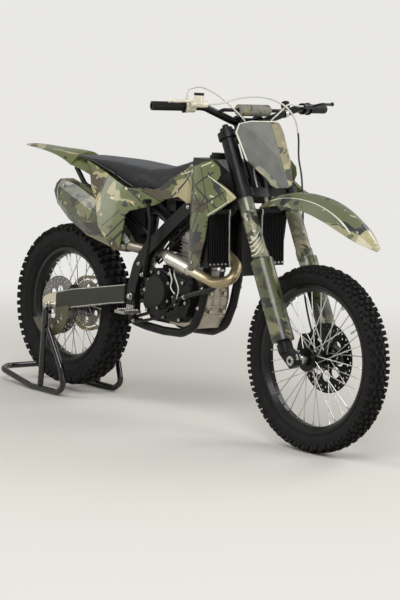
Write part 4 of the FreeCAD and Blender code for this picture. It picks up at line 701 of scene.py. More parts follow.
# The plate's fields, and a pale line along its top and sides.
PLATE_FINISH = zoned(
    "number_plate_films", PLATE_FILM,
    ((Zone(Measure.ALONG, 40.0, 300.0, tuple(PLATE_SLANT), tuple(fork_at(0.0, 0.0, 740.0))),), PLATE_PALE),
    ((Zone(Measure.ALONG, -150.0, -58.0, tuple(PLATE_SLANT), tuple(fork_at(0.0, 0.0, 740.0))),), GREY_CAMOUFLAGE),
    ((Zone(Measure.ALONG, 36.0, 300.0, (0.0, 1.0, 0.0)),), TAN_CAMOUFLAGE),
    (plate_edge(0.0, 270.0, 0.0, 1.0), PALE_PRINT_AND_HIGHLIGHT_LINE),
    *((plate_edge(side * 104.0, 270.0, side * 0.877, 0.481), PALE_PRINT_AND_HIGHLIGHT_LINE) for side in (-1.0, 1.0)),
    *((plate_edge(side * 121.0, 239.0, side * 0.9968, -0.08), PALE_PRINT_AND_HIGHLIGHT_LINE) for side in (-1.0, 1.0)),
)
# The shrouds: green above and brown below, hatched with dark and pale lines.
SHROUD_FINISH = zoned(
    "camouflage_film_with_line_print", CAMOUFLAGE,
    ((Zone(Measure.ALONG, 560.0, 842.0, (0.0, 0.0, 1.0)),), BROWN_CAMOUFLAGE),
    *((side_line(start, end, width), LINE_FILM) for start, end, width in (
        ((752.0, 876.0), (905.0, 1004.0), 8.0), ((792.0, 992.0), (968.0, 884.0), 7.0),
        ((884.0, 1006.0), (1012.0, 868.0), 9.0), ((935.0, 968.0), (1100.0, 866.0), 8.0),
        ((952.0, 745.0), (1036.0, 905.0), 6.0), ((1010.0, 1010.0), (1060.0, 850.0), 5.0),
        ((960.0, 700.0), (1010.0, 800.0), 9.0), ((965.0, 640.0), (1000.0, 740.0), 7.0),
        ((700.0, 930.0), (860.0, 1006.0), 5.0), ((840.0, 1010.0), (960.0, 900.0), 5.0),
        ((905.0, 900.0), (1075.0, 1000.0), 7.0), ((985.0, 850.0), (1130.0, 930.0), 6.0),
        ((1046.0, 1000.0), (1120.0, 900.0), 6.0), ((1090.0, 960.0), (1160.0, 880.0), 5.0),
    )),
    *((side_line(start, end, width), PALE_PRINT_AND_HIGHLIGHT_LINE) for start, end, width in (
        ((1048.0, 985.0), (1200.0, 912.0), 4.0), ((1010.0, 1016.0), (1062.0, 1036.0), 4.0),
        ((1056.0, 838.0), (1160.0, 900.0), 3.5), ((800.0, 968.0), (930.0, 1002.0), 3.5),
    )),
)
# The side panels: the green film with a few dark strokes.
PANEL_FINISH = zoned(
    "camouflage_film_side_panel", CAMOUFLAGE,
    *((side_line(start, end, width), LINE_FILM) for start, end, width in (
        ((500.0, 880.0), (610.0, 820.0), 6.0), ((560.0, 885.0), (690.0, 850.0), 5.0),
        ((455.0, 668.0), (500.0, 720.0), 12.0), ((430.0, 690.0), (500.0, 770.0), 8.0),
        ((400.0, 730.0), (470.0, 800.0), 5.0), ((330.0, 905.0), (352.0, 885.0), 7.0),
    )),
)
# The fender: slate patches, a cream tip and a painted highlight line along each side.
FENDER_FINISH = zoned(
    "camouflage_film_front_fender", FENDER_CAMOUFLAGE,
    ((Zone(Measure.ALONG, 222.0, 400.0, (1.0, 0.0, 0.0), tuple(FRONT_AXLE)),), CREAM_FILM),
    # A painted highlight along each side of the fender's top, standing for light on its ridge.
    ((Zone(Measure.ACROSS, 51.5, 55.0), Zone(Measure.ALONG, -240.0, 190.0, (1.0, 0.0, 0.0), tuple(FRONT_AXLE))),
     PALE_PRINT_AND_HIGHLIGHT_LINE),
)
# The muffler: a dark cast cap, a bright ring, then film.
MUFFLER_FINISH = zoned(
    "camouflage_film_on_muffler", MUFFLER_CAMOUFLAGE,
    ((Zone(Measure.ALONG, -400.0, 94.0),), Finish("cast_muffler_cap_dark", "#2b2a27", 0.4, metallic=0.7)),
    ((Zone(Measure.ALONG, 94.0, 99.0),), MACHINED_ALUMINIUM),
)
# The header: tinted pipe with a polished chamber in it.
HEADER_FINISH = zoned(
    "stainless_header_with_chamber", HEADER_STEEL,
    ((Zone(Measure.ALONG, 746.0, 902.0), Zone(Measure.ACROSS, 95.0)), POLISHED_STEEL),
)
# The crankcase: painted covers with a bare casting between them.
ENGINE_FINISH = zoned(
    "crankcase_painted_with_bare_middle", ENGINE_BLACK,
    ((Zone(Measure.ACROSS, 0.0, 60.5), Zone(Measure.ALONG, 700.0)), WARM_ALUMINIUM),
)
# The cylinder: bare below, painted head above.
CYLINDER_FINISH = zoned(
    "cylinder_cast_with_dark_head", CAST_ALUMINIUM,
    ((Zone(Measure.ALONG, 766.0, 2000.0, (0.0, 0.0, 1.0)),), ENGINE_BLACK),
)
# The radiators: black cores between bare tanks.
RADIATOR_FINISH = zoned(
    "radiator_painted_with_bare_tank", POWDER_BLACK,
    ((Zone(Measure.ACROSS, 78.0, 86.5),), MACHINED_ALUMINIUM),
)
# The swingarm: olive, with bright edges and a pale block at the axle.
ARM_FINISH = zoned(
    "swingarm_olive_with_polished_edges", ARM_ALUMINIUM,
    ((Zone(Measure.FACING, 0.3, 2.0, (0.0, 0.0, 1.0)),), MACHINED_ALUMINIUM),
    *((side_line(start, end, 7.0), MACHINED_ALUMINIUM) for start, end in (
        ((-15.0, 406.0), (133.0, 443.5)), ((133.0, 443.5), (369.0, 484.5)), ((369.0, 484.5), (480.0, 504.5)),
        ((60.0, 352.0), (387.0, 416.0)), ((387.0, 416.0), (480.0, 432.0)),
    )),
    ((Zone(Measure.ALONG, -200.0, 34.0),), PALE_BLOCK),
)
# The brake hose: a pale sheath above and black rubber below.
HOSE_FINISH = zoned(
    "brake_hose_pale_then_black", HOSE_RUBBER,
    ((Zone(Measure.ALONG, 1152.0, 2000.0, (0.0, 0.0, 1.0)),), CABLE_SHEATH),
)
# The kick lever: black, with a rubber on its upper end.
KICK_FINISH = zoned(
    "kick_lever_with_rubber", POWDER_BLACK,
    ((Zone(Measure.ALONG, 838.0, 2000.0, (0.0, 0.0, 1.0)),), GRIP_RUBBER),
)

NODE_FINISHES: dict[str, Finish] = {
    "frame_head": POWDER_BLACK, "frame_spars": POWDER_BLACK, "frame_cradles": POWDER_BLACK,
    "subframe": POWDER_BLACK, "footpegs": CAST_ALUMINIUM, "kick_lever": KICK_FINISH,
    "stand_runners": GLOSS_BLACK, "stand_uprights": GLOSS_BLACK, "stand_rear_bar": GLOSS_BLACK,
    "handlebar": ANODISED_BLACK, "upper_clamp": ANODISED_BLACK, "lower_clamp": ANODISED_BLACK,
    "clutch_perch": ANODISED_BLACK, "brake_master": MASTER_PALE, "grips": GRIP_RUBBER,
    "fork_legs": FORK_FINISH, "fork_guards": MUFFLER_CAMOUFLAGE, "front_fender": FENDER_FINISH,
    "number_plate": PLATE_FINISH, "shrouds": SHROUD_FINISH, "side_panels": PANEL_FINISH, "rear_fender": CAMOUFLAGE,
    "disc_guard": BRONZE_PLASTIC, "chain_guide": BLACK_PLASTIC_AND_PAINTED_SHADE, "airbox": BLACK_PLASTIC_AND_PAINTED_SHADE,
    "fuel_tank": TANK_PLASTIC, "fuel_cap": BLACK_PLASTIC_AND_PAINTED_SHADE,
    "swingarm_beams": ARM_FINISH, "swingarm_yoke": ARM_ALUMINIUM,
    "engine_case": ENGINE_FINISH, "clutch_cover": ENGINE_BLACK, "ignition_cover": ENGINE_BLACK,
    "engine_cylinder": CYLINDER_FINISH, "radiators": RADIATOR_FINISH, "coolant_hose": HOSE_RUBBER,
    "exhaust_header": HEADER_FINISH, "exhaust_muffler": MUFFLER_FINISH,
    "shock": SPRING_STEEL, "chain": CHAIN_GOLD, "foot_levers": BLACK_STEEL,
    "front_axle": ZINC_STEEL, "rear_axle": ZINC_STEEL, "front_caliper": ANODISED_BLACK,
    "rear_caliper": ANODISED_BLACK, "front_tyre": TYRE_RUBBER, "rear_tyre": TYRE_RUBBER,
    "front_rim": RIM_ANODISED, "rear_rim": RIM_ANODISED, "front_spokes": SPOKE_STEEL, "rear_spokes": SPOKE_STEEL,
    "front_hub": HUB_ALUMINIUM, "rear_hub": REAR_HUB_ALUMINIUM, "front_disc": BLACK_STEEL,
    "rear_disc": GROUND_STEEL, "rear_sprocket": SPROCKET_STEEL,
    "control_cables": CABLE_SHEATH, "brake_hose": HOSE_FINISH,
}


def deselect() -> None:
    """Leaves no object selected."""
    bpy.ops.object.select_all(action="DESELECT")


def dress_node(name: str, finish: Finish) -> None:
    """Gives a CAD node its finish.

    Args:
        name: the node.
        finish: its surface.
    """
    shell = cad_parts[name]
    material = finish.material()
    if not shell.material_slots:
        shell.data.materials.append(material)
    for place in shell.material_slots:
        place.material = material


@dataclass
class Studio:
    """Camera, floor and soft lamps.

    The camera stands where the photograph's stood, worked out from both wheels.
    """

    eye: tuple[float, float, float] = (6.58033, -5.61516, 1.53704)
    right: tuple[float, float, float] = (0.64721254, 0.76051861, 0.05222415)
    up: tuple[float, float, float] = (-0.12675932, 0.03981372, 0.99113417)
    ahead: tuple[float, float, float] = (-0.75169675, 0.64809437, -0.12217076)
    lens_mm: float = 133.6
    floor_half: float = 120.0
    floor_colour: str = "#cfccc6"
    background: str = "#e9e8e5"
    fade_near: float = 1.3
    fade_far: float = 4.5
    world_light: float = 0.55
    aim: tuple[float, float, float] = (0.0, 0.0, 0.6)
    lamps: list[tuple[tuple[float, float, float], float, float]] = field(default_factory=lambda: [
        ((3.5, -3.5, 4.5), 3.0, 190.0),
        ((-3.0, -4.0, 3.5), 3.0, 110.0),
        ((1.0, 4.5, 4.0), 3.0, 120.0),
        ((5.0, 1.5, 2.5), 2.0, 70.0),
    ])

    def camera(self) -> None:
        """Places the camera."""
        data = bpy.data.cameras.new("photo_camera")
        data.lens = self.lens_mm
        data.clip_end = 300.0
        camera = bpy.data.objects.new("photo_camera", data)
        bpy.context.scene.collection.objects.link(camera)
        turn = Matrix((self.right, self.up, tuple(-c for c in self.ahead))).transposed()
        camera.matrix_world = Matrix.Translation(self.eye) @ turn.to_4x4()
        bpy.context.scene.camera = camera

    def floor(self) -> None:
        """Adds the pale floor, which turns into plain white for the camera's background."""
        bpy.ops.mesh.primitive_plane_add(size=2.0 * self.floor_half, location=(0.0, 0.0, 0.0))
        plane = bpy.context.object
        plane.name = "studio_floor"
        plane.data.materials.append(self.floor_material())

    def floor_material(self) -> bpy.types.Material:
        """Matt paint round the motorcycle that turns into the plain background further out.

        Returns:
            The floor's material.
        """
        made = bpy.data.materials.new("pale_studio_floor")
        made.use_nodes = True
        tree = made.node_tree
        tree.nodes.clear()
        place = add_node(tree, "ShaderNodeTexCoord").outputs["Object"]
        reach = add_node(tree, "ShaderNodeVectorMath", {"operation": "LENGTH"}, {0: place})
        far = add_node(tree, "ShaderNodeMapRange", {"interpolation_type": "SMOOTHSTEP"}, {
            "Value": reach.outputs["Value"], "From Min": self.fade_near, "From Max": self.fade_far,
        })
        rays = add_node(tree, "ShaderNodeLightPath")
        seen = add_node(tree, "ShaderNodeMath", {"operation": "MAXIMUM"}, {
            0: rays.outputs["Is Camera Ray"], 1: rays.outputs["Is Glossy Ray"],
        })
        glow = add_node(tree, "ShaderNodeMath", {"operation": "MULTIPLY"}, {
            0: far.outputs["Result"], 1: seen.outputs["Value"],
        })
        paint = add_node(tree, "ShaderNodeBsdfPrincipled", inputs={
            "Base Color": linear(self.floor_colour), "Roughness": 0.9,
        })
        light = add_node(tree, "ShaderNodeEmission", inputs={"Color": linear(self.background)})
        mix = add_node(tree, "ShaderNodeMixShader", inputs={
            0: glow.outputs["Value"], 1: paint.outputs["BSDF"], 2: light.outputs["Emission"],
        })
        add_node(tree, "ShaderNodeOutputMaterial", inputs={"Surface": mix.outputs["Shader"]})
        return made

    def world(self) -> None:
        """Lights the whole scene softly and shows pale surroundings in mirrors."""
        world = bpy.data.worlds.new("studio")
        bpy.context.scene.world = world
        world.use_nodes = True
        tree = world.node_tree
        tree.nodes.clear()
        rays = add_node(tree, "ShaderNodeLightPath")
        seen = add_node(tree, "ShaderNodeMath", {"operation": "MAXIMUM"}, {
            0: rays.outputs["Is Camera Ray"], 1: rays.outputs["Is Transmission Ray"],
        })
        strength = add_node(tree, "ShaderNodeMapRange", inputs={
            "Value": seen.outputs["Value"], "To Min": self.world_light, "To Max": 1.0,
        })
        sky = add_node(tree, "ShaderNodeBackground", inputs={
            "Color": linear(self.background), "Strength": strength.outputs["Result"],
        })
        add_node(tree, "ShaderNodeOutputWorld", inputs={"Surface": sky.outputs["Background"]})

    def lights(self) -> None:
        """Adds the soft lamps, each aimed at the motorcycle's middle."""
        for index, (place, size, power) in enumerate(self.lamps):
            data = bpy.data.lights.new(f"softbox_{index}", "AREA")
            data.size = size
            data.energy = power
            lamp = bpy.data.objects.new(f"softbox_{index}", data)
            bpy.context.scene.collection.objects.link(lamp)
            lamp.location = place
            lamp.rotation_euler = (Vector(self.aim) - Vector(place)).to_track_quat("-Z", "Y").to_euler()

    def build(self) -> None:
        """Sets up the whole studio."""
        bpy.context.scene.view_settings.view_transform = "Standard"
        self.camera()
        self.floor()
        self.world()
        self.lights()
        LOG.info("studio ready")


def select_only(*objects: bpy.types.Object) -> None:
    """Selects objects and makes the first one active.

    Args:
        objects: what is selected.
    """
    deselect()
    for item in objects:
        item.select_set(True)
    bpy.context.view_layer.objects.active = objects[0]


def place_in_mesh(piece: bpy.types.Object) -> None:
    """Moves a piece's place, turn and scale into its mesh."""
    select_only(piece)
    bpy.ops.object.transform_apply(location=True, rotation=True, scale=True)


def apply_modifier(piece: bpy.types.Object, kind: str, **settings: object) -> None:
    """Adds a modifier and applies it.

    Args:
        piece: the object to change.
        kind: the modifier's type.
        settings: its settings, by name.
    """
    modifier = piece.modifiers.new(kind.lower(), kind)
    for name, value in settings.items():
        setattr(modifier, name, value)
    select_only(piece)
    bpy.ops.object.modifier_apply(modifier=modifier.name)


def merged_copy(node: str, name: str) -> bpy.types.Object:
    """Copies a CAD node's mesh as a closed mesh of shared corners.

    Args:
        node: the CAD node.
        name: the copy's name.

    Returns:
        The copy, at the origin.
    """
    select_only(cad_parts[node])
    bpy.ops.object.duplicate()
    copy = bpy.context.object
    copy.parent = None
    copy.matrix_world = Matrix.Identity(4)
    copy.name = name
    copy.data.name = name
    bpy.ops.object.mode_set(mode="EDIT")
    bpy.ops.mesh.select_all(action="SELECT")
    bpy.ops.mesh.remove_doubles(threshold=0.02 * MM)
    bpy.ops.object.mode_set(mode="OBJECT")
    return copy


def edit_faces(piece: bpy.types.Object, wanted: Callable[[Vector, Vector], bool]) -> None:
    """Enters edit mode with only some faces selected.

    Args:
        piece: the object to edit.
        wanted: tells from a face's centre and normal whether it is selected.
    """
    select_only(piece)
    bpy.ops.object.mode_set(mode="EDIT")
    bpy.ops.mesh.select_mode(type="FACE")
    bpy.ops.mesh.select_all(action="DESELECT")
    shape = bmesh.from_edit_mesh(piece.data)
    for face in shape.faces:
        face.select_set(wanted(face.calc_center_median(), face.normal))
    bmesh.update_edit_mesh(piece.data)


def edit_corners(piece: bpy.types.Object, wanted: Callable[[Vector], bool]) -> None:
    """Enters edit mode with only some corners selected.

    Args:
        piece: the object to edit.
        wanted: tells from a corner's place whether it is selected.
    """
    select_only(piece)
    bpy.ops.object.mode_set(mode="EDIT")
    bpy.ops.mesh.select_mode(type="VERT")
    bpy.ops.mesh.select_all(action="DESELECT")
    shape = bmesh.from_edit_mesh(piece.data)
    for corner in shape.verts:
        corner.select_set(wanted(corner.co))
    shape.select_flush(True)
    bmesh.update_edit_mesh(piece.data)


def leave_edit() -> None:
    """Goes back to object mode."""
    bpy.ops.object.mode_set(mode="OBJECT")


def smooth(piece: bpy.types.Object, degrees: float = 35.0) -> None:
    """Shades a piece smooth, with edges sharper than the angle kept crisp."""
    select_only(piece)
    bpy.ops.object.shade_smooth_by_angle(angle=math.radians(degrees))


def rod(name: str, start: Vector, end: Vector, radius: float, sides: int = 24) -> bpy.types.Object:
    """Adds a round bar between two layout points.

    Args:
        name: the piece's name.
        start: one end, in layout mm.
        end: the other end.
        radius: in mm.
        sides: how many flat sides it has.

    Returns:
        The bar, with its place in its mesh.
    """
    deselect()
    run = end - start
    bpy.ops.mesh.primitive_cylinder_add(
        vertices=sides, radius=radius * MM, depth=run.length * MM, location=placed((start + end) / 2.0),
        rotation=run.to_track_quat("Z", "Y").to_euler(),
    )
    piece = bpy.context.object
    piece.name = name
    place_in_mesh(piece)
    return piece


def joined(name: str, pieces: list[bpy.types.Object]) -> bpy.types.Object:
    """Joins pieces into the first one.

    Args:
        name: the name of the whole.
        pieces: what is joined.

    Returns:
        The first piece, which now holds them all.
    """
    select_only(*pieces)
    bpy.ops.object.join()
    pieces[0].name = name
    pieces[0].data.name = name
    return pieces[0]


def copies(pattern: bpy.types.Object, places: Iterable[Matrix], name: str) -> bpy.types.Object:
    """Sets a copy of a pattern piece at each place and removes the pattern.

    Args:
        pattern: the piece that repeats, modelled at the origin.
        places: where each copy goes, in the model's metres.
        name: the new piece's name.

    Returns:
        One piece that holds all the copies.
    """
    gathered = bmesh.new()
    for place in places:
        mesh = pattern.data.copy()
        mesh.transform(place)
        gathered.from_mesh(mesh)
        bpy.data.meshes.remove(mesh)
    mesh = bpy.data.meshes.new(name)
    gathered.to_mesh(mesh)
    gathered.free()
    piece = bpy.data.objects.new(name, mesh)
    bpy.context.scene.collection.objects.link(piece)
    bpy.data.objects.remove(pattern)
    return piece


def finished(piece: bpy.types.Object, finish: Finish, body: str, degrees: float = 35.0) -> None:
    """Dresses a new piece and hangs it on its body.

    Args:
        piece: the new piece.
        finish: its surface.
        body: the CAD body that it rides on.
        degrees: edges sharper than this stay crisp.
    """
    smooth(piece, degrees)
    piece.data.materials.clear()
    piece.data.materials.append(finish.material())
    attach(piece, body)
    LOG.info("%s: %d faces", piece.name, len(piece.data.polygons))


class Head(Enum):
    """The kinds of screw head."""

    SOCKET = "round head with a sunk socket"
    HEX = "six-sided head on a flange"


@dataclass(frozen=True)
class Screw:
    """A screw whose head seats where a ray meets a CAD node; lengths in layout mm."""

    node: str
    start: Vector
    toward: Vector
    radius: float

    def place(self) -> Matrix | None:
        """Casts the ray.

        Returns:
            Where the head goes, or None if the ray misses.
        """
        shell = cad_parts[self.node]
        hit, spot, _normal, _face = shell.ray_cast(placed(self.start), self.toward.normalized())
        if not hit:
            LOG.warning("no seat for a screw on %s at %s", self.node, tuple(round(c) for c in self.start))
            return None
        turn = (-self.toward).to_track_quat("Z", "Y").to_matrix().to_4x4()
        size = self.radius * MM
        return Matrix.Translation(spot) @ turn @ Matrix.Diagonal((size, size, size, 1.0))


Spots = tuple[tuple[float, float], ...]
RING = (30.0, 90.0, 150.0, 210.0, 270.0, 330.0)
RING_OF_FIVE = (18.0, 90.0, 162.0, 234.0, 306.0)


def on_circle(x: float, z: float, radius: float, degrees: Iterable[float]) -> Spots:
    """Layout (x, z) spots on a circle, one for each turn up from forward."""
    turns = [math.radians(turn) for turn in degrees]
    return tuple((x + radius * math.cos(turn), z + radius * math.sin(turn)) for turn in turns)


@dataclass
class Fasteners:
    """The screw heads that show, each kind modelled once at a radius of one.

    A head's own sizes are shares of its radius, and all spots are layout (x, z).
    """

    sink: float = 0.12
    reach: float = 320.0
    case_right: Spots = (
        (624, 422), (726, 408), (822, 408), (854, 477), (832, 553), (750, 578), (642, 574), (606, 500),
    )
    case_left: Spots = ((680, 418), (808, 418), (842, 470), (838, 545), (680, 556))
    clutch: Spots = on_circle(700.0, 508.0, 68.0, RING)
    ignition: Spots = on_circle(752.0, 480.0, 55.4, RING_OF_FIVE)
    pump: Spots = on_circle(806.0, 484.0, 19.0, RING[::2])
    cylinder: Spots = ((758, 722), (812, 716), (770, 800), (828, 794))
    spars: Spots = ((560, 596), (842, 846))
    cradles: Spots = ((931, 662), (926, 540), (905, 462))
    pivot: Spots = ((530, 463),)
    shrouds: Spots = ((944, 990), (982, 652), (788, 902), (1078, 888))
    panels: Spots = ((560, 862), (300, 912), (468, 668))
    muffler: Spots = ((452, 692), (132, 866), (132, 800))
    caliper: Spots = ((1366, 352), (1378, 392))
    leg_y: float = 112.0

    def socket_head(self) -> bpy.types.Object:
        """A cheese head with its edge eased and its socket sunk.

        Returns:
            The head.
        """
        deselect()
        bpy.ops.mesh.primitive_cylinder_add(
            vertices=18, radius=1.0, depth=0.95, location=(0.0, 0.0, 0.475 - self.sink),
        )
        head = bpy.context.object
        place_in_mesh(head)
        edit_faces(head, lambda centre, normal: normal.z > FACES)
        bpy.ops.mesh.inset(thickness=0.16)
        bpy.ops.transform.translate(value=(0.0, 0.0, 0.07))
        bpy.ops.mesh.inset(thickness=0.3)
        bpy.ops.mesh.extrude_region_move(TRANSFORM_OT_translate={"value": (0.0, 0.0, -0.5)})
        leave_edit()
        return head

    def hex_head(self) -> bpy.types.Object:
        """A six-sided head whose top corners are eased, on a round flange.

        Returns:
            The head.
        """
        deselect()
        bpy.ops.mesh.primitive_cylinder_add(
            vertices=24, radius=1.0, depth=0.3, location=(0.0, 0.0, 0.15 - self.sink),
        )
        flange = bpy.context.object
        place_in_mesh(flange)
        edit_faces(flange, lambda centre, normal: normal.z > FACES)
        bpy.ops.mesh.inset(thickness=0.14)
        bpy.ops.transform.translate(value=(0.0, 0.0, 0.08))
        leave_edit()
        deselect()
        bpy.ops.mesh.primitive_cylinder_add(
            vertices=6, radius=0.8, depth=0.8, location=(0.0, 0.0, 0.6 - self.sink),
        )
        nut = bpy.context.object
        place_in_mesh(nut)
        edit_faces(nut, lambda centre, normal: normal.z > FACES)
        bpy.ops.mesh.inset(thickness=0.12)
        bpy.ops.transform.translate(value=(0.0, 0.0, 0.08))
        leave_edit()
        return joined("hex_head", [flange, nut])

    def group(
        self, name: str, head: Head, screws: list[Screw], finish: Finish, body: str,
    ) -> None:
        """Builds one group of screws.

        Args:
            name: the piece's name.
            head: the kind of head.
            screws: where they go.
            finish: their surface.
            body: the body that they ride on.
        """
        pattern = self.socket_head() if head is Head.SOCKET else self.hex_head()
        places = [place for place in (screw.place() for screw in screws) if place is not None]
        finished(copies(pattern, places, name), finish, body)

    def sideways(self, node: str, spots: Spots, side: float, radius: float) -> list[Screw]:
        """Screws driven in from one side at layout (x, z) spots; side is -1 right, 1 left."""
        toward = Vector((0.0, -side, 0.0))
        return [Screw(node, Vector((x, side * self.reach, z)), toward, radius) for x, z in spots]

    def engine(self) -> None:
        """The screws of the crankcase, its covers and the cylinder."""
        screws = self.sideways("engine_case", self.case_right, -1.0, 6.6)
        screws += self.sideways("engine_case", self.case_left, 1.0, 6.6)
        screws += self.sideways("clutch_cover", self.clutch, -1.0, 6.4)
        screws += self.sideways("ignition_cover", self.ignition, 1.0, 4.2)
        screws += self.sideways("engine_case", self.pump, -1.0, 3.8)
        for side in (-1.0, 1.0):
            screws += self.sideways("engine_cylinder", self.cylinder, side, 5.5)
        self.group("engine_screws", Head.SOCKET, screws, ZINC_STEEL, "chassis")

    def chassis(self) -> None:
        """The bolts of frame and swingarm, the screws of the panels and the chassis's nuts."""
        frame_bolts = []
        trim_bolts = []
        for side in (-1.0, 1.0):
            frame_bolts += self.sideways("frame_spars", self.spars, side, 7.0)
            frame_bolts += self.sideways("frame_cradles", self.cradles, side, 6.5)
            frame_bolts += self.sideways("swingarm_yoke", self.pivot, side, 13.0)
            trim_bolts += self.sideways("shrouds", self.shrouds, side, 6.0)
            trim_bolts += self.sideways("side_panels", self.panels, side, 6.0)
        self.group("frame_bolts", Head.HEX, frame_bolts, ZINC_STEEL, "chassis")
        trim_bolts += self.sideways("exhaust_muffler", self.muffler, -1.0, 6.0)
        self.group("panel_screws", Head.SOCKET, trim_bolts, ZINC_STEEL, "chassis")
        ahead = Vector((-1.0, 0.0, 0.0))
        foot = [
            Screw("radiators", Vector((1150.0, side * (88.0 + 19.0 * index), 652.0)), ahead, 4.4)
            for side in (-1.0, 1.0) for index in range(6)
        ]
        self.group("radiator_screws", Head.SOCKET, foot, ZINC_STEEL, "chassis")
        nuts = [nut for side in (-1.0, 1.0) for nut in self.sideways("rear_axle", ((0, 360),), side, 16.0)]
        nuts += self.sideways("kick_lever", ((616, 560),), -1.0, 8.0)
        nuts += self.sideways("foot_levers", ((580, 374),), -1.0, 7.0)
        self.group("axle_nuts", Head.HEX, nuts, ZINC_STEEL, "chassis")

    def front_end(self) -> None:
        """The nuts and screws of the fork, its clamps and the front caliper."""
        down = -FORK_UP
        fork = [Screw("upper_clamp", fork_at(-22.0, 0.0, 990.0), down, 16.0)]
        fork += [Screw("fork_legs", fork_at(0.0, side * self.leg_y, 990.0), down, 15.0) for side in (-1.0, 1.0)]
        self.group("fork_nuts", Head.HEX, fork, ANODISED_BLACK, "front_end")
        clamps = [
            Screw("upper_clamp", fork_at(10.0 + n, side * 48.0, 1010.0), down, 5.0)
            for side in (-1.0, 1.0) for n in (-16.0, 16.0)
        ]
        clamps += [
            Screw("fork_legs", fork_at(120.0, side * (self.leg_y + out), rise), -FORK_AHEAD, 5.2)
            for side in (-1.0, 1.0) for out in (-8.0, 8.0) for rise in (-2.0, 9.0)
        ]
        clamps += self.sideways("front_caliper", self.caliper, 1.0, 7.0)
        self.group("fork_screws", Head.SOCKET, clamps, ZINC_STEEL, "front_end")

    def wheels(self) -> None:
        """The bolts of both discs and of the sprocket."""
        rotor = on_circle(FRONT_AXLE.x, FRONT_AXLE.z, 34.0, RING)
        front = self.sideways("front_disc", rotor, 1.0, 6.0)
        self.group("front_disc_bolts", Head.SOCKET, front, ZINC_STEEL, "front_wheel")
        rear = self.sideways("rear_disc", on_circle(REAR_AXLE.x, REAR_AXLE.z, 33.0, RING), -1.0, 6.0)
        rear += self.sideways("rear_sprocket", on_circle(REAR_AXLE.x, REAR_AXLE.z, 45.0, RING), 1.0, 6.5)
        self.group("rear_disc_bolts", Head.SOCKET, rear, ZINC_STEEL, "rear_wheel")

    def build(self) -> None:
        """Puts every group in its place."""
        self.engine()
        self.chassis()
        self.front_end()
        self.wheels()


@dataclass
class WheelTrim:
    """Spoke nipples, valve and drilled disc of one wheel."""

    body: str
    axle: Vector
    rim_r: float
    flange_r: float
    flange_y: float
    disc: str
    disc_y: float
    disc_r: float
    disc_finish: Finish
    spokes: int = 36
    hole_rows: tuple[float, ...] = (8.5, 22.0)
    hole_count: int = 26
    hole_r: float = 4.2
    # The valve, its cap, the rim lock's stud and its nut: turn, foot and tip below the rim's edge, radius.
    valve_rods: tuple[tuple[float, float, float, float], ...] = (
        (0.6, 62.0, 22.0, 3.0), (0.6, 66.0, 52.0, 4.2), (1.02, 44.0, 22.0, 4.0), (1.02, 34.0, 26.0, 8.0),
    )

    def spoke_ends(self, index: int) -> tuple[Vector, Vector]:
        """Where a spoke starts and ends.

        Args:
            index: the spoke's number round the wheel.

        Returns:
            Its end at the hub and its end at the rim.
        """
        side = 1.0 if index % 2 else -1.0
        lean = 1.0 if index % 4 < 2 else -1.0
        out = 4.5 + (1.8 if lean > 0 else 0.3)
        rim_turn = 2.0 * math.pi * index / self.spokes
        hub_turn = rim_turn + lean * 7.0 * math.pi / self.spokes
        inner = around(self.axle, side * (self.flange_y + lean * out), self.flange_r - 4.0, hub_turn)
        outer = around(self.axle, side * 3.0, self.rim_r - 26.3, rim_turn)
        return inner, outer

    def nipples(self) -> None:
        """Tapered nipples where the spokes enter the rim, and heads at the hub."""
        deselect()
        bpy.ops.mesh.primitive_cone_add(vertices=8, radius1=3.6, radius2=2.6, depth=17.0, location=(0.0, 0.0, 7.5))
        nipple = bpy.context.object
        place_in_mesh(nipple)
        edit_faces(nipple, lambda centre, normal: normal.z < -FACES)
        bpy.ops.mesh.inset(thickness=0.8)
        bpy.ops.transform.translate(value=(0.0, 0.0, -1.0))
        leave_edit()
        places = []
        for index in range(self.spokes):
            inner, outer = self.spoke_ends(index)
            turn = (inner - outer).to_track_quat("Z", "Y").to_matrix().to_4x4()
            places.append(Matrix.Translation(placed(outer)) @ turn @ Matrix.Scale(MM, 4))
        finished(copies(nipple, places, f"{self.body}_nipples"), ZINC_STEEL, self.body)

    def valve(self) -> None:
        """The valve stem with its cap, and the rim lock's nut beside it."""
        pieces = []
        for turn, low, high, radius in self.valve_rods:
            start = around(self.axle, 0.0, self.rim_r - low, turn)
            end = around(self.axle, 0.0, self.rim_r - high, turn)
            pieces.append(rod("valve", start, end, radius, 12))
        finished(joined(f"{self.body}_valve", pieces), ZINC_STEEL, self.body)

    def drilled_disc(self) -> None:
        """The disc with its rows of cooling holes bored through."""
        piece = merged_copy(self.disc, f"{self.disc}_drilled")
        drills = []
        toward = 1.0 if self.disc_y > 0.0 else -1.0
        for row, depth in enumerate(self.hole_rows):
            for index in range(self.hole_count):
                turn = 2.0 * math.pi * (index + 0.5 * row) / self.hole_count
                start = around(self.axle, self.disc_y - toward * 5.0, self.disc_r - depth, turn)
                end = start + Vector((0.0, toward * 14.0, 0.0))
                drills.append(rod("drill", start, end, self.hole_r, 14))
        drill = joined("drills", drills)
        apply_modifier(piece, "BOOLEAN", operation="DIFFERENCE", solver="EXACT", object=drill)
        bpy.data.objects.remove(drill)
        finished(piece, self.disc_finish, self.body, 30.0)
        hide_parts(self.disc)

    def build(self) -> None:
        """Makes the wheel's small pieces."""
        self.nipples()
        self.valve()
        self.drilled_disc()


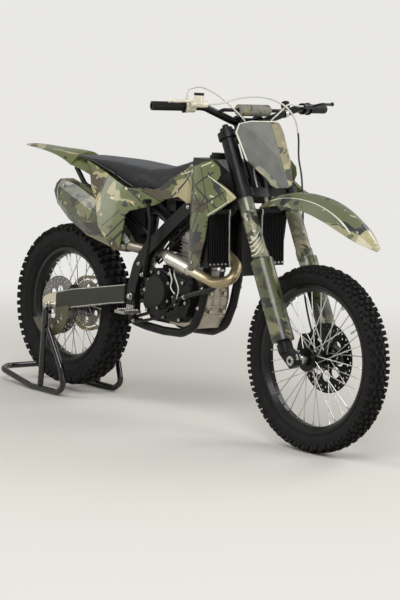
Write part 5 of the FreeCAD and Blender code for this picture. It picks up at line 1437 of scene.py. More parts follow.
@dataclass
class KnobblyTyre:
    """A round tyre with ringed walls and rows of moulded blocks."""

    node: str
    body: str
    axle: Vector
    outer_r: float
    half: float
    rim_r: float
    bead_y: float
    rows: int
    block: float
    knob_height: float = 13.0
    steps: int = 144
    root: float = 4.0
    # Blocks of one pitch: share of pitch, y, drop, lean, width, share of length; y and width are shares of half.
    pitch_blocks: tuple[tuple[float, ...], ...] = (
        (0.0, 0.19, 0.0, 4.0, 0.27, 1.0), (0.5, 0.0, 0.0, 0.0, 0.36, 0.9), (0.5, 0.5, -2.5, 20.0, 0.27, 1.0),
        (0.0, 0.8, -9.0, 40.0, 0.27, 1.1), (0.5, 0.86, -12.0, 50.0, 0.22, 0.85),
    )
    # The wall from bead to shoulder: share of its height and share of the tyre's half width.
    wall_shape: Spots = (
        (0.0, 0.50), (0.06, 0.585), (0.10, 0.615), (0.115, 0.66), (0.15, 0.68), (0.165, 0.665), (0.30, 0.76),
        (0.45, 0.825), (0.47, 0.85), (0.52, 0.858), (0.54, 0.846), (0.70, 0.872), (0.86, 0.865), (1.0, 0.82),
    )

    def wall(self) -> list[tuple[float, float]]:
        """Half of the carcass's outline.

        Returns:
            Its points from the left bead to the tread's middle, as (y, radius).
        """
        floor = self.outer_r - self.knob_height
        edge = floor - 9.0
        foot = self.rim_r + 1.0
        rise = edge - foot
        points = [(self.bead_y, self.rim_r - 8.7), (self.bead_y, foot)]
        points += [(max(self.bead_y + 0.5, self.half * wide), foot + rise * up) for up, wide in self.wall_shape]
        points += [(self.half * 0.64, floor - 3.5), (self.half * 0.42, floor - 0.8), (self.half * 0.2, floor)]
        return points

    def carcass(self) -> bpy.types.Object:
        """Spins the outline round the axle.

        Returns:
            The carcass.
        """
        left = self.wall()
        outline = left + [(0.0, self.outer_r - self.knob_height + 0.3)] + [(-y, r) for y, r in reversed(left)]
        deselect()
        bpy.ops.mesh.primitive_circle_add(vertices=len(outline), radius=0.1)
        piece = bpy.context.object
        piece.name = f"{self.node}_moulded"
        place_in_mesh(piece)
        for corner, (y, r) in zip(piece.data.vertices, outline):
            corner.co = placed(self.axle + Vector((0.0, y, r)))
        edit_corners(piece, lambda spot: True)
        bpy.ops.mesh.spin(
            steps=self.steps, angle=2.0 * math.pi, center=placed(self.axle), axis=(0.0, 1.0, 0.0),
        )
        bpy.ops.mesh.select_all(action="SELECT")
        bpy.ops.mesh.remove_doubles(threshold=0.01 * MM)
        bpy.ops.mesh.normals_make_consistent(inside=False)
        leave_edit()
        return piece

    def knob(self) -> bpy.types.Object:
        """One tapered block with eased edges.

        Returns:
            The block, a millimetre wide, long and tall before it is placed.
        """
        deselect()
        bpy.ops.mesh.primitive_cube_add(size=1.0, location=(0.0, 0.0, 0.0))
        block = bpy.context.object
        edit_faces(block, lambda centre, normal: normal.z > FACES)
        bpy.ops.transform.resize(value=(0.84, 0.84, 1.0))
        bpy.ops.mesh.bevel(offset=0.07, segments=1)
        leave_edit()
        return block

    def blocks(self) -> list[tuple[float, float, float, float, float, float]]:
        """The blocks of one pitch.

        Returns:
            For each its share of the pitch, y, drop below the floor, lean, width and share of length.
        """
        rows = []
        for share, y, drop, lean, width, length in self.pitch_blocks:
            for side in ((1.0, -1.0) if y else (1.0,)):
                rows.append((share, side * (y * self.half), drop, lean, width * self.half, length))
        return rows

    def tread(self) -> bpy.types.Object:
        """Sets every block round the tyre.

        Returns:
            One piece with all the blocks.
        """
        floor = self.outer_r - self.knob_height
        places = []
        for row in range(self.rows):
            for share, y, drop, lean, width, length in self.blocks():
                turn = 2.0 * math.pi * (row + share) / self.rows
                tilt = math.copysign(math.radians(lean), y)
                radial = Vector((math.cos(turn), 0.0, math.sin(turn)))
                over = Vector((0.0, 1.0, 0.0))
                upward = radial * math.cos(tilt) + over * math.sin(tilt)
                sideways = over * math.cos(tilt) - radial * math.sin(tilt)
                ahead = Vector((math.sin(turn), 0.0, -math.cos(turn)))
                tall = self.knob_height + self.root
                centre = around(self.axle, y, floor + drop, turn) + upward * (0.5 * tall - self.root)
                axes = Matrix((
                    ahead * self.block * length, sideways * width, upward * tall,
                )).transposed().to_4x4()
                places.append(Matrix.Translation(placed(centre)) @ Matrix.Scale(MM, 4) @ axes)
        return copies(self.knob(), places, f"{self.node}_blocks")

    def build(self) -> None:
        """Makes the tyre and lets it stand for its CAD node."""
        piece = joined(f"{self.node}_moulded", [self.carcass(), self.tread()])
        finished(piece, TYRE_RUBBER, self.body, 32.0)
        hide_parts(self.node)


@dataclass
class DriveChain:
    """Rollers, pins and two layers of side plates round both sprockets; lengths in layout mm."""

    y: float = 73.0
    rear: Vector = field(default_factory=lambda: Vector(REAR_AXLE))
    front: Vector = field(default_factory=lambda: Vector((600.0, 0.0, 470.0)))
    rear_r: float = 110.0
    front_r: float = 35.8
    pitch: float = 15.875
    plate_r: float = 7.1
    waist: float = 0.74
    # A link's plate place and thickness, then its pin's or roller's radius and half length.
    outer_link: tuple[float, float, float, float] = (6.2, 1.5, 2.7, 7.4)
    inner_link: tuple[float, float, float, float] = (4.6, 1.5, 5.0, 3.9)

    def tangent(self) -> tuple[float, float, float]:
        """Works out how the runs touch both sprockets.

        Returns:
            The centre line's slope, the tangent points' angle from it and a straight run's length.
        """
        between = self.front - self.rear
        slope = math.atan2(between.z, between.x)
        spread = math.acos((self.rear_r - self.front_r) / between.length)
        return slope, spread, math.sqrt(between.length ** 2 - (self.rear_r - self.front_r) ** 2)

    def spot(self, distance: float) -> Vector:
        """Follows the pitch line.

        Args:
            distance: how far round, from the rear sprocket's upper tangent.

        Returns:
            The line's point there.
        """
        slope, spread, straight = self.tangent()
        front_arc = 2.0 * spread * self.front_r
        high = slope + spread
        low = slope - spread
        if distance < straight:
            start = around(self.rear, self.y, self.rear_r, high)
            return start.lerp(around(self.front, self.y, self.front_r, high), distance / straight)
        distance -= straight
        if distance < front_arc:
            return around(self.front, self.y, self.front_r, high - distance / self.front_r)
        distance -= front_arc
        if distance < straight:
            start = around(self.front, self.y, self.front_r, low)
            return start.lerp(around(self.rear, self.y, self.rear_r, low), distance / straight)
        return around(self.rear, self.y, self.rear_r, low - (distance - straight) / self.rear_r)

    def length(self) -> float:
        """The whole pitch line's length."""
        _slope, spread, straight = self.tangent()
        return 2.0 * straight + 2.0 * spread * self.front_r + 2.0 * (math.pi - spread) * self.rear_r

    def plate(self, out: float, thick: float) -> bpy.types.Object:
        """A side plate as long as one pitch, narrowed at its waist.

        Args:
            out: its middle's y.
            thick: its thickness.

        Returns:
            The plate.
        """
        deselect()
        bpy.ops.mesh.primitive_cylinder_add(
            vertices=16, radius=self.plate_r, depth=thick, location=(0.0, out, 0.0),
            rotation=(math.pi / 2.0, 0.0, 0.0),
        )
        piece = bpy.context.object
        place_in_mesh(piece)
        for toward in (-1.0, 1.0):
            edit_corners(piece, lambda spot, toward=toward: spot.x * toward > 0.01)
            bpy.ops.transform.translate(value=(toward * self.pitch / 2.0, 0.0, 0.0))
            leave_edit()
        edit_corners(piece, lambda spot: abs(spot.x) < 0.01)
        bpy.ops.transform.resize(value=(1.0, 1.0, self.waist))
        leave_edit()
        return piece

    def link(self, out: float, thick: float, core_r: float, core_half: float) -> bpy.types.Object:
        """Two side plates with a pin or roller at each end.

        Args:
            out: the left plate's y.
            thick: the plates' thickness.
            core_r: the pin's or roller's radius.
            core_half: half its length.

        Returns:
            The link, with its middle at the origin.
        """
        pieces = [self.plate(-out, thick), self.plate(out, thick)]
        for x in (-self.pitch / 2.0, self.pitch / 2.0):
            deselect()
            bpy.ops.mesh.primitive_cylinder_add(
                vertices=12, radius=core_r, depth=2.0 * core_half, location=(x, 0.0, 0.0),
                rotation=(math.pi / 2.0, 0.0, 0.0),
            )
            core = bpy.context.object
            place_in_mesh(core)
            edit_faces(core, lambda centre, normal: abs(normal.y) > FACES)
            bpy.ops.mesh.inset(thickness=0.25 * core_r)
            leave_edit()
            pieces.append(core)
        return joined("link", pieces)

    def build(self) -> None:
        """Sets outer and inner links in turn round the loop."""
        total = self.length()
        count = 2 * round(total / (2.0 * self.pitch))
        step = total / count
        layers: tuple[list[Matrix], list[Matrix]] = ([], [])
        for index in range(count):
            start = self.spot(index * step)
            end = self.spot((index + 1) * step % total)
            ahead = (end - start).normalized()
            over = Vector((0.0, 1.0, 0.0))
            axes = Matrix((ahead, over, ahead.cross(over))).transposed().to_4x4()
            centre = Matrix.Translation(placed((start + end) / 2.0))
            layers[index % 2].append(centre @ Matrix.Scale(MM, 4) @ axes)
        outer = copies(self.link(*self.outer_link), layers[0], "chain_outer_links")
        inner = copies(self.link(*self.inner_link), layers[1], "chain_inner_links")
        chain = joined("roller_chain", [outer, inner])
        finished(chain, CHAIN_GOLD, "chassis", 30.0)
        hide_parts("chain")


@dataclass
class ShockSpring:
    """The coil wound round the damper."""

    lower: Vector = field(default_factory=lambda: Vector((452.0, 0.0, 482.0)))
    upper: Vector = field(default_factory=lambda: Vector((492.0, 0.0, 790.0)))
    first: float = 42.0
    last: float = 198.0
    radius: float = 34.0
    wire_r: float = 5.5
    turns: int = 7
    steps: int = 28

    def build(self) -> None:
        """Winds the wire with a screw and sets it on the damper's line."""
        deselect()
        bpy.ops.mesh.primitive_circle_add(
            vertices=10, radius=self.wire_r * MM, location=(self.radius * MM, 0.0, 0.0),
            rotation=(math.pi / 2.0, 0.0, 0.0),
        )
        coil = bpy.context.object
        coil.name = "shock_spring"
        place_in_mesh(coil)
        pitch = (self.last - self.first - 2.0 * self.wire_r) / self.turns
        apply_modifier(
            coil, "SCREW", angle=2.0 * math.pi, iterations=self.turns, screw_offset=pitch * MM, steps=self.steps,
            render_steps=self.steps, use_smooth_shade=True,
        )
        select_only(coil)
        bpy.ops.object.mode_set(mode="EDIT")
        bpy.ops.mesh.select_mode(type="EDGE")
        bpy.ops.mesh.select_all(action="DESELECT")
        bpy.ops.mesh.select_non_manifold()
        bpy.ops.mesh.edge_face_add()
        bpy.ops.mesh.select_all(action="SELECT")
        bpy.ops.mesh.normals_make_consistent(inside=False)
        leave_edit()
        run = (self.upper - self.lower).normalized()
        foot = placed(self.lower + run * (self.first + self.wire_r))
        coil.data.transform(Matrix.Translation(foot) @ run.to_track_quat("Z", "Y").to_matrix().to_4x4())
        finished(coil, SPRING_STEEL, "chassis")


@dataclass
class SmallTrim:
    """Clamp bands, the reservoir's cap and the front fender's nose; lengths in layout mm."""

    chamber_front: Vector = field(default_factory=lambda: Vector((888.0, -128.0, 611.0)))
    chamber_back: Vector = field(default_factory=lambda: Vector((764.0, -128.0, 640.5)))
    muffler_joint: Vector = field(default_factory=lambda: Vector((494.0, -124.0, 662.0)))
    muffler_run: Vector = field(default_factory=lambda: Vector((-0.92, -0.2, 0.39)))
    pump: Vector = field(default_factory=lambda: Vector((806.0, -124.0, 484.0)))
    pump_run: Vector = field(default_factory=lambda: Vector((0.94, 0.0, 0.342)))
    radiator_foot: Vector = field(default_factory=lambda: Vector((1036.0, -94.0, 626.0)))
    header_band: tuple[float, float] = (27.6, 9.0)
    muffler_band: tuple[float, float] = (23.0, 12.0)
    hose_band: tuple[float, float] = (11.2, 9.0)
    band_inset: float = 5.0
    cap_r: float = 19.0
    cap_heights: tuple[float, float] = (32.0, 41.0)
    nose_centre: Vector = field(default_factory=lambda: Vector((1737.0, 0.0, 789.5)))
    nose_slope: Vector = field(default_factory=lambda: Vector((0.74, 0.0, -0.673)))
    nose_over: Vector = field(default_factory=lambda: Vector((0.673, 0.0, 0.74)))
    nose_half: tuple[float, float, float] = (24.0, 23.2, 8.5)

    def band(self, centre: Vector, along: Vector, radius: float, width: float) -> bpy.types.Object:
        """A clamp band round a pipe, with a screw block on it.

        Args:
            centre: its middle.
            along: the pipe's direction.
            radius: the band's outer radius.
            width: its width along the pipe.

        Returns:
            The clamp.
        """
        run = along.normalized() * (0.5 * width)
        ring = rod("band", centre - run, centre + run, radius, 40)
        edit_faces(ring, lambda spot, normal: abs(normal.dot(run.normalized())) > FACES)
        bpy.ops.mesh.inset(thickness=1.2 * MM)
        leave_edit()
        over = Vector((0.0, -1.0, 0.0)) if abs(run.normalized().y) < 0.7 else Vector((0.0, 0.0, 1.0))
        block = rod("block", centre + over * (radius - 2.0), centre + over * (radius + 4.0), 0.45 * width, 12)
        return joined("clamp", [ring, block])

    def clamps(self) -> None:
        """The header's clamps and those of the coolant hose."""
        along = (self.chamber_back - self.chamber_front).normalized()
        bands = [
            self.band(self.chamber_front + along * self.band_inset, along, *self.header_band),
            self.band(self.chamber_back - along * self.band_inset, along, *self.header_band),
            self.band(self.muffler_joint, self.muffler_run, *self.muffler_band),
        ]
        finished(joined("header_clamps", bands), MACHINED_ALUMINIUM, "chassis")
        hoses = [
            self.band(self.pump + self.pump_run * 56.0, self.pump_run, *self.hose_band),
            self.band(self.radiator_foot, Vector((0.0, 0.0, 1.0)), *self.hose_band),
        ]
        finished(joined("hose_clamps", hoses), ZINC_STEEL, "chassis")

    def reservoir_cap(self) -> None:
        """The screwed cap on the front brake's reservoir."""
        tip = fork_at(10.0 - 19.5, -435.0, 952.0 + 66.6)
        bend = fork_at(45.0, -235.0, 952.0 + 42.0)
        foot = tip + (bend - tip).normalized() * 166.0 + Vector((0.94, 0.0, 0.34)) * 32.0
        low, high = [foot + Vector((0.0, 0.0, height)) for height in self.cap_heights]
        lid = rod("reservoir_cap", low, high, self.cap_r, 32)
        edit_faces(lid, lambda spot, normal: normal.z > FACES)
        bpy.ops.mesh.inset(thickness=3.0 * MM)
        bpy.ops.transform.translate(value=(0.0, 0.0, -1.5 * MM))
        leave_edit()
        finished(lid, BLACK_PLASTIC_AND_PAINTED_SHADE, "front_end")

    def fender_tip(self) -> None:
        """The moulded nose that closes the front fender's end, rounded and drawn to a point."""
        deselect()
        bpy.ops.mesh.primitive_uv_sphere_add(segments=36, ring_count=18, radius=1.0)
        nose = bpy.context.object
        nose.name = "fender_tip"
        long, wide, high = self.nose_half
        for corner in nose.data.vertices:
            along, across, rise = corner.co
            taper = 1.0 - 0.5 * max(along, 0.0) ** 2
            spot = self.nose_centre + self.nose_slope * along * long + Vector((0.0, across * taper * wide, 0.0))
            corner.co = placed(spot + self.nose_over * rise * high)
        finished(nose, CREAM_FILM, "front_end", 60.0)

    def build(self) -> None:
        """Makes each group of trim."""
        self.clamps()
        self.reservoir_cap()
        self.fender_tip()


@dataclass(frozen=True)
class SeatCover(Finish):
    """Grained vinyl whose gripping top is painted paler than its sides where it faces up, as painted light from
    above.
    """

    # The top's paler colour is painted light, standing for light falling on it from above.
    top: str = "#4a4c50"

    def base(self, tree: bpy.types.NodeTree) -> bpy.types.NodeSocket:
        """The side colour, turning to the top's paler colour where the cover faces up, a painted highlight from
        above.

        Args:
            tree: the material's node tree.

        Returns:
            The colour's socket.
        """
        split = add_node(tree, "ShaderNodeSeparateXYZ", inputs={
            "Vector": add_node(tree, "ShaderNodeNewGeometry").outputs["Normal"],
        })
        upward = add_node(tree, "ShaderNodeMapRange", inputs={
            "Value": split.outputs["Z"], "From Min": 0.55, "From Max": 0.75,
        })
        # Painted highlight: where the cover faces up, it takes the paler top colour.
        mix = add_node(tree, "ShaderNodeMix", {"data_type": "RGBA"}, {
            0: upward.outputs["Result"], 6: super().base(tree), 7: linear(self.top),
        })
        return mix.outputs[2]


# Grained vinyl: small cells, and a top painted paler and drier-looking than the sides where it faces up, as
# painted light from above.
SEAT_COVER = SeatCover(
    "grained_vinyl_seat_cover", "#1c1d20", 0.62, grain=Grain.CELLS, grain_mm=3.2, height_mm=0.3, mottle=0.15,
)
# Smooth vinyl: a thin black line with a little gloss.
PIPING_VINYL = Finish("smooth_vinyl_piping", "#0b0b0c", 0.34, coat=0.2, height_mm=0.004)


def tube_through(name: str, points: Iterable[Vector], radius: float) -> bpy.types.Object:
    """Adds a round tube on one smooth line.

    Args:
        name: the piece's name.
        points: the line's control points, in layout mm.
        radius: in mm.

    Returns:
        The tube as a mesh, with its place in its mesh.
    """
    deselect()
    line = bpy.data.curves.new(name, "CURVE")
    line.dimensions = "3D"
    line.bevel_depth = radius * MM
    line.bevel_resolution = 3
    line.resolution_u = 6
    line.use_fill_caps = True
    corners = [placed(point) for point in points]
    spline = line.splines.new("NURBS")
    spline.points.add(len(corners) - 1)
    for corner, spot in zip(spline.points, corners):
        corner.co = (*spot, 1.0)
    spline.order_u = 3
    spline.use_endpoint_u = True
    piece = bpy.data.objects.new(name, line)
    bpy.context.scene.collection.objects.link(piece)
    select_only(piece)
    bpy.ops.object.convert(target="MESH")
    return bpy.context.object


@dataclass
class SoftParts:
    """The foam seat with its stretched cover, and the pad on the bars; sizes in metres."""

    seat_voxel: float = 6.0 * MM
    pad_voxel: float = 3.0 * MM
    seat_rounds: int = 22
    pad_rounds: int = 12
    seat_cap: float = 5.0 * MM
    pad_cap: float = 3.0 * MM
    piping_mm: float = 4.4
    seam_mm: float = 1.5
    stations: range = range(78, 812, 24)
    frames: int = 20
    pressure: float = 4.0

    def inflate(self, piece: bpy.types.Object, cap: float) -> None:
        """Presses a cover outwards as cloth over foam, and caps how far it may go.

        Args:
            piece: the cushion, a little smaller than it will be.
            cap: the furthest that a point may move, in metres.
        """
        before = [corner.co.copy() for corner in piece.data.vertices]
        modifier = piece.modifiers.new("cover", "CLOTH")
        modifier.settings.use_pressure = True
        modifier.settings.uniform_pressure_force = self.pressure
        modifier.settings.effector_weights.gravity = 0.0
        modifier.point_cache.frame_start = 1
        modifier.point_cache.frame_end = self.frames
        for number in range(1, self.frames + 1):
            bpy.context.scene.frame_set(number)
        shaped = piece.evaluated_get(bpy.context.evaluated_depsgraph_get()).to_mesh()
        after = [corner.co.copy() for corner in shaped.vertices]
        piece.evaluated_get(bpy.context.evaluated_depsgraph_get()).to_mesh_clear()
        piece.modifiers.remove(modifier)
        bpy.context.scene.frame_set(1)
        for corner, old, new in zip(piece.data.vertices, before, after):
            move = new - old
            corner.co = old + move * min(1.0, cap / max(move.length, 1e-9))
        LOG.info("%s: cover pressed out over %d frames", piece.name, self.frames)

    def padded(self, node: str, name: str, voxel: float, rounds: int, cap: float) -> bpy.types.Object:
        """Rounds one soft node's solid into a cushion.

        Args:
            node: the CAD node that the cushion stands for.
            name: the cushion's name.
            voxel: the size of its remeshed faces, in metres.
            rounds: how often its corners are smoothed.
            cap: how far the cover is pressed out, in metres.

        Returns:
            The cushion, without its material.
        """
        cushion = merged_copy(node, name)
        apply_modifier(cushion, "REMESH", mode="VOXEL", voxel_size=voxel)
        apply_modifier(cushion, "SMOOTH", factor=0.5, iterations=rounds)
        apply_modifier(cushion, "DISPLACE", strength=((-0.5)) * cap, mid_level=0.0)
        self.inflate(cushion, cap)
        apply_modifier(cushion, "SMOOTH", factor=0.5, iterations=4)
        apply_modifier(cushion, "SUBSURF", levels=1, render_levels=1)
        bpy.ops.object.shade_smooth()
        cushion.data.materials.clear()
        return cushion

    def edge(self, cushion: bpy.types.Object, side: float, lift: float) -> list[Vector]:
        """Follows one long edge of the seat.

        Args:
            cushion: the finished seat.
            side: -1 for the right edge, 1 for the left.
            lift: below 0 for the bottom edge, above 0 for the top.

        Returns:
            Points along it, in layout mm.
        """
        spots = [corner.co / MM + Vector((CENTRE_X, 0.0, 0.0)) for corner in cushion.data.vertices]
        line = []
        for station in self.stations:
            near = [spot for spot in spots if abs(spot.x - station) < 5.0]
            line.append(max(near, key=lambda spot: side * spot.y + lift * spot.z))
        return line

    def seat(self) -> None:
        cushion = self.padded("seat", "seat_cushion", self.seat_voxel, self.seat_rounds, self.seat_cap)
        cushion.data.materials.append(SEAT_COVER.material())
        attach(cushion, "chassis")
        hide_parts("seat")
        piping = [tube_through("piping", self.edge(cushion, side, -1.2), self.piping_mm) for side in (-1.0, 1.0)]
        finished(joined("seat_piping", piping), PIPING_VINYL, "chassis")
        seams = [tube_through("seam", self.edge(cushion, side, 0.8), self.seam_mm) for side in (-1.0, 1.0)]
        finished(joined("seat_seams", seams), PIPING_VINYL, "chassis")

    def bar_pad(self) -> None:
        """Builds the bar pad, wrapped in cloth."""
        pad = self.padded("bar_pad", "crossbar_pad", self.pad_voxel, self.pad_rounds, self.pad_cap)
        pad.data.materials.append(PAD_CLOTH.material())
        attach(pad, "front_end")
        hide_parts("bar_pad")

    def build(self) -> None:
        """Makes both soft parts."""
        self.seat()
        self.bar_pad()
        LOG.info("seat and bar pad covered")


Place = tuple[float, float, float]


@dataclass
class EngineBay:
    """What fills the space round the engine: inlet, starter, wiring, ribs, black sheets of painted shade and the
    bar switch.

    All places and radii are in layout mm.
    """

    boot: tuple[Place, Place] = ((676.0, 0.0, 756.0), (726.0, 0.0, 746.0))
    boot_r: float = 28.0
    boot_ribs: int = 6
    rib_r: float = 31.0
    wheel_hub: Place = (724.0, -26.0, 752.0)
    wheel_r: float = 20.0
    sensor: tuple[Place, Place] = ((704.0, -62.0, 770.0), (740.0, -30.0, 800.0))
    rail: tuple[Place, Place] = ((716.0, -66.0, 812.0), (716.0, 60.0, 812.0))
    drum: tuple[Place, Place] = ((700.0, -52.0, 620.0), (700.0, 58.0, 620.0))
    drum_r: float = 25.0
    strap: tuple[Place, Place] = ((700.0, -30.0, 620.0), (700.0, -22.0, 620.0))
    strap_r: float = 27.0
    switch_r: float = 17.0
    switch_half: float = 9.0
    switch_rise: float = 30.0
    switch_clamp: tuple[float, float] = (7.0, 19.0)
    # For each loom: how far below the first one it runs, how far out, and its radius.
    looms: tuple[Place, ...] = ((0.0, 82.0, 7.0), (20.0, 74.0, 5.0), (-22.0, 78.0, 6.0), (38.0, 66.0, 4.5))
    # For each point of a loom: x, how much closer in, height, and the share of the drop.
    loom_route: tuple[tuple[float, float, float, float], ...] = (
        (600.0, -18.0, 612.0, 0.3), (640.0, 0.0, 650.0, 1.0), (690.0, 4.0, 706.0, 1.0),
        (745.0, 0.0, 752.0, 1.0), (800.0, -4.0, 800.0, 0.7), (850.0, -22.0, 838.0, 0.5),
    )
    # Each electric box: name, lowest and highest corner, and how far its edges are eased.
    boxes: tuple[tuple[str, Place, Place, float], ...] = (
        ("regulator", (596.0, -20.0, 604.0), (662.0, 58.0, 640.0), 4.0),
        ("relay", (640.0, -60.0, 812.0), (700.0, 60.0, 862.0), 5.0),
        ("coil", (636.0, -34.0, 652.0), (696.0, 58.0, 702.0), 5.0),
        ("capacitor", (642.0, -46.0, 700.0), (692.0, 54.0, 742.0), 5.0),
    )
    coolant_r: float = 11.0
    left_hose: tuple[Place, ...] = (
        (1026.0, 100.0, 662.0), (990.0, 92.0, 640.0), (930.0, 76.0, 628.0), (862.0, 66.0, 640.0),
        (806.0, 58.0, 664.0),
    )
    top_hose: tuple[Place, ...] = (
        (1000.0, 96.0, 836.0), (960.0, 84.0, 850.0), (900.0, 70.0, 836.0), (846.0, 56.0, 796.0),
    )
    breather_r: float = 2.6
    breathers: tuple[tuple[Place, ...], ...] = (
        ((742.0, -110.0, 596.0), (776.0, -137.0, 588.0), (800.0, -142.0, 560.0), (786.0, -143.0, 528.0),
         (806.0, -132.0, 508.0)),
        ((770.0, -108.0, 596.0), (800.0, -138.0, 586.0), (826.0, -141.0, 556.0), (838.0, -137.0, 520.0),
         (820.0, -132.0, 500.0)),
    )
    rib_half: float = 57.0
    rib_heights: tuple[float, ...] = (426.0, 462.0, 498.0, 534.0)
    rib_line: tuple[tuple[float, float], ...] = ((882.0, 420.0), (904.0, 500.0), (900.0, 546.0))
    rib_spread: tuple[float, ...] = (-52.0, -18.0, 18.0, 48.0)
    # The black sheets of painted shade: their thickness and how far they bow.
    shade_sheet_thick: float = 3.0
    shade_sheet_bow: float = 40.0

    def slab(self, name: str, low: Place, high: Place, edge: float) -> bpy.types.Object:
        """A block with eased edges.

        Args:
            name: the piece's name.
            low: its lowest corner.
            high: its highest corner.
            edge: how far its edges are eased.

        Returns:
            The block.
        """
        deselect()
        size = Vector(high) - Vector(low)
        bpy.ops.mesh.primitive_cube_add(size=1.0, location=placed((Vector(low) + Vector(high)) / 2.0))
        block = bpy.context.object
        block.name = name
        block.scale = size * MM
        place_in_mesh(block)
        apply_modifier(block, "BEVEL", width=edge * MM, segments=2)
        return block

    def inlet(self) -> None:
        """The ribbed boot between airbox and throttle, and the throttle's cable wheel."""
        start, end = [Vector(place) for place in self.boot]
        step = (end - start) / float(self.boot_ribs)
        rings = [
            rod("ring", start + step * index, start + step * (index + 0.55), self.rib_r, 32)
            for index in range(self.boot_ribs)
        ]
        rings.append(rod("boot", start, end, self.boot_r, 32))
        finished(joined("inlet_boot", rings), HOSE_RUBBER, "chassis")
        hub = Vector(self.wheel_hub)
        wheel = rod("wheel", hub, hub + Vector((0.0, -20.0, 0.0)), self.wheel_r, 32)
        edit_faces(wheel, lambda spot, normal: normal.y < -FACES)
        bpy.ops.mesh.inset(thickness=4.0 * MM)
        bpy.ops.transform.translate(value=(0.0, 3.0 * MM, 0.0))
        leave_edit()
        sensor = self.slab("sensor", *self.sensor, 3.0)
        rail = rod("rail", Vector(self.rail[0]), Vector(self.rail[1]), 8.0)
        finished(joined("throttle_parts", [wheel, sensor, rail]), CAST_ALUMINIUM, "chassis")

    def starter(self) -> None:
        """The starter motor across the crankcase, behind the cylinder."""
        drum = rod("starter_motor", Vector(self.drum[0]), Vector(self.drum[1]), self.drum_r, 40)
        edit_faces(drum, lambda spot, normal: abs(normal.y) > FACES)
        bpy.ops.mesh.inset(thickness=5.0 * MM)
        leave_edit()
        strap = rod("strap", Vector(self.strap[0]), Vector(self.strap[1]), self.strap_r, 40)
        finished(joined("starter_motor", [drum, strap]), ANODISED_BLACK, "chassis")

    def wiring(self) -> None:
        """Dark looms behind the spars, and pale breather hoses over the clutch cover."""
        looms = []
        for side in (-1.0, 1.0):
            for drop, out, radius in self.looms:
                spots = [
                    Vector((x, side * (out + inward), height - share * drop))
                    for x, inward, height, share in self.loom_route
                ]
                looms.append(tube_through("loom", spots, radius))
        looms += [self.slab(*box) for box in self.boxes]
        for name, route in (("left_hose", self.left_hose), ("top_hose", self.top_hose)):
            looms.append(tube_through(name, [Vector(spot) for spot in route], self.coolant_r))
        finished(joined("wiring_looms", looms), HOSE_RUBBER, "chassis")
        hoses = [
            tube_through("breather", [Vector(spot) for spot in route], self.breather_r) for route in self.breathers
        ]
        finished(joined("breather_hoses", hoses), CABLE_SHEATH, "chassis")

    def ribs(self) -> None:
        """Cast ribs, pads and screws on the crankcase's front and top."""
        bars = []
        for height in self.rib_heights:
            front = 884.0 + (height - 420.0) * 0.26 if height < 500.0 else 905.0 - (height - 500.0) * 0.1
            low = (front - 8.0, -self.rib_half, height)
            bars.append(self.slab("rib", low, (front + 5.0, self.rib_half, height + 5.0), 1.5))
        for y in self.rib_spread:
            spots = [Vector((x, y, z)) for x, z in self.rib_line]
            bars += [rod("rib", start, end, 5.0, 10) for start, end in zip(spots, spots[1:])]
        bars += [
            rod("boss", Vector((866.0, y, z)), Vector((912.0, y, z)), 8.5, 16)
            for y in (-34.0, 34.0) for z in (446.0, 516.0)
        ]
        finished(joined("crankcase_ribs", bars), WARM_ALUMINIUM, "chassis")

    def shade_sheet(
        self, name: str, foot: tuple[float, float], top: tuple[float, float],
        sides: tuple[float, float], cut: tuple[float, float],
    ) -> None:
        """One bowed black sheet, painted shade that darkens a gap, cut away where the header pipe passes.

        Args:
            name: the piece's name.
            foot: the x and z of its lower edge, in layout mm.
            top: the x and z of its upper edge.
            sides: the y of its right and left edges.
            cut: no sheet is left to the right of this y and below this z.
        """
        deselect()
        bpy.ops.mesh.primitive_grid_add(x_subdivisions=8, y_subdivisions=12, size=1.0, location=(0.0, 0.0, 0.0))
        sheet = bpy.context.object
        sheet.name = name
        place_in_mesh(sheet)
        for corner in sheet.data.vertices:
            along = corner.co.x + 0.5
            rise = corner.co.y + 0.5
            bow = self.shade_sheet_bow * along * (1.0 - along)
            corner.co = placed(Vector((
                foot[0] + (top[0] - foot[0]) * rise - bow, sides[0] + (sides[1] - sides[0]) * along,
                foot[1] + (top[1] - foot[1]) * rise,
            )))
        edit_faces(sheet, lambda spot, normal: spot.y < cut[0] * MM and spot.z < cut[1] * MM)
        bpy.ops.mesh.delete(type="FACE")
        leave_edit()
        apply_modifier(sheet, "SOLIDIFY", thickness=self.shade_sheet_thick * MM, offset=0.0)
        finished(sheet, BLACK_PLASTIC_AND_PAINTED_SHADE, "chassis", 50.0)

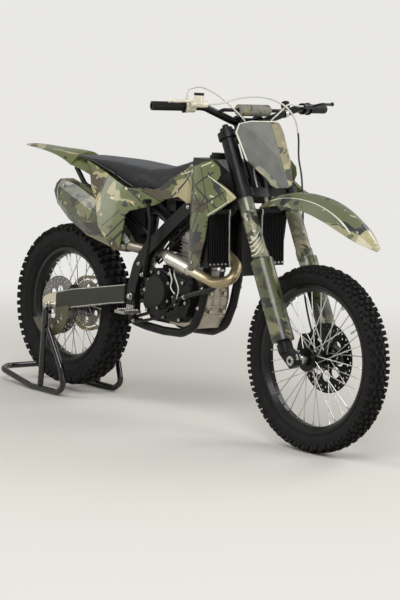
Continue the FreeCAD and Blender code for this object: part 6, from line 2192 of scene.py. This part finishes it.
    def switch(self) -> None:
        """The round switch and its clamp on the left half of the bar."""
        start = fork_at(45.0, 235.0, 994.0)
        toward = (fork_at(10.0, 60.0, 952.0) - start).normalized()
        seat = start + toward * 60.0
        half, radius = self.switch_clamp
        clamp = rod("clamp", seat - toward * half, seat + toward * half, radius, 32)
        finished(clamp, MACHINED_ALUMINIUM, "front_end")
        face = (FORK_AHEAD * 0.3 + Vector((0.0, -0.5, 0.8))).normalized()
        centre = seat + Vector((0.0, 0.0, self.switch_rise))
        reach = face * self.switch_half
        case = rod("bar_switch", centre - reach, centre + reach, self.switch_r, 32)
        edit_faces(case, lambda spot, normal: normal.dot(face) > FACES)
        bpy.ops.mesh.inset(thickness=3.0 * MM)
        bpy.ops.transform.translate(value=face * (-2.0 * MM))
        leave_edit()
        finished(case, BLACK_PLASTIC_AND_PAINTED_SHADE, "front_end")

    def build(self) -> None:
        """Makes every part of it."""
        self.inlet()
        self.starter()
        self.wiring()
        self.ribs()
        # Black sheets of painted shade: one in the gap behind the radiators, one behind the left radiator.
        self.shade_sheet("painted_shade_sheet_behind_radiators", (902.0, 616.0), (960.0, 862.0), (-78.0, 78.0), (4.0, 736.0))
        self.shade_sheet("painted_shade_sheet_behind_left_radiator", (1046.0, 600.0), (1032.0, 848.0), (-10.0, 84.0), (-200.0, 0.0))
        self.switch()


def main() -> None:
    """Builds the scene."""
    logging.basicConfig(level=logging.INFO, format="%(name)s: %(message)s")
    Studio().build()
    for name, finish in NODE_FINISHES.items():
        dress_node(name, finish)
    LOG.info("%d nodes dressed", len(NODE_FINISHES))
    Fasteners().build()
    SoftParts().build()
    KnobblyTyre(
        "front_tyre", "front_wheel", FRONT_AXLE, outer_r=346.0, half=45.0, rim_r=FRONT_RIM_R, bead_y=20.3,
        rows=44, block=15.5,
    ).build()
    KnobblyTyre(
        "rear_tyre", "rear_wheel", REAR_AXLE, outer_r=336.0, half=59.0, rim_r=REAR_RIM_R, bead_y=27.3,
        rows=30, block=24.0,
    ).build()
    WheelTrim(
        "front_wheel", FRONT_AXLE, rim_r=FRONT_RIM_R, flange_r=36.0, flange_y=30.0, disc="front_disc",
        disc_y=54.0, disc_r=130.0, disc_finish=BLACK_STEEL,
    ).build()
    WheelTrim(
        "rear_wheel", REAR_AXLE, rim_r=REAR_RIM_R, flange_r=46.0, flange_y=34.0, disc="rear_disc",
        disc_y=-70.0, disc_r=120.0, disc_finish=GROUND_STEEL,
    ).build()
    DriveChain().build()
    ShockSpring().build()
    SmallTrim().build()
    EngineBay().build()


if __name__ == "__main__":
    main()
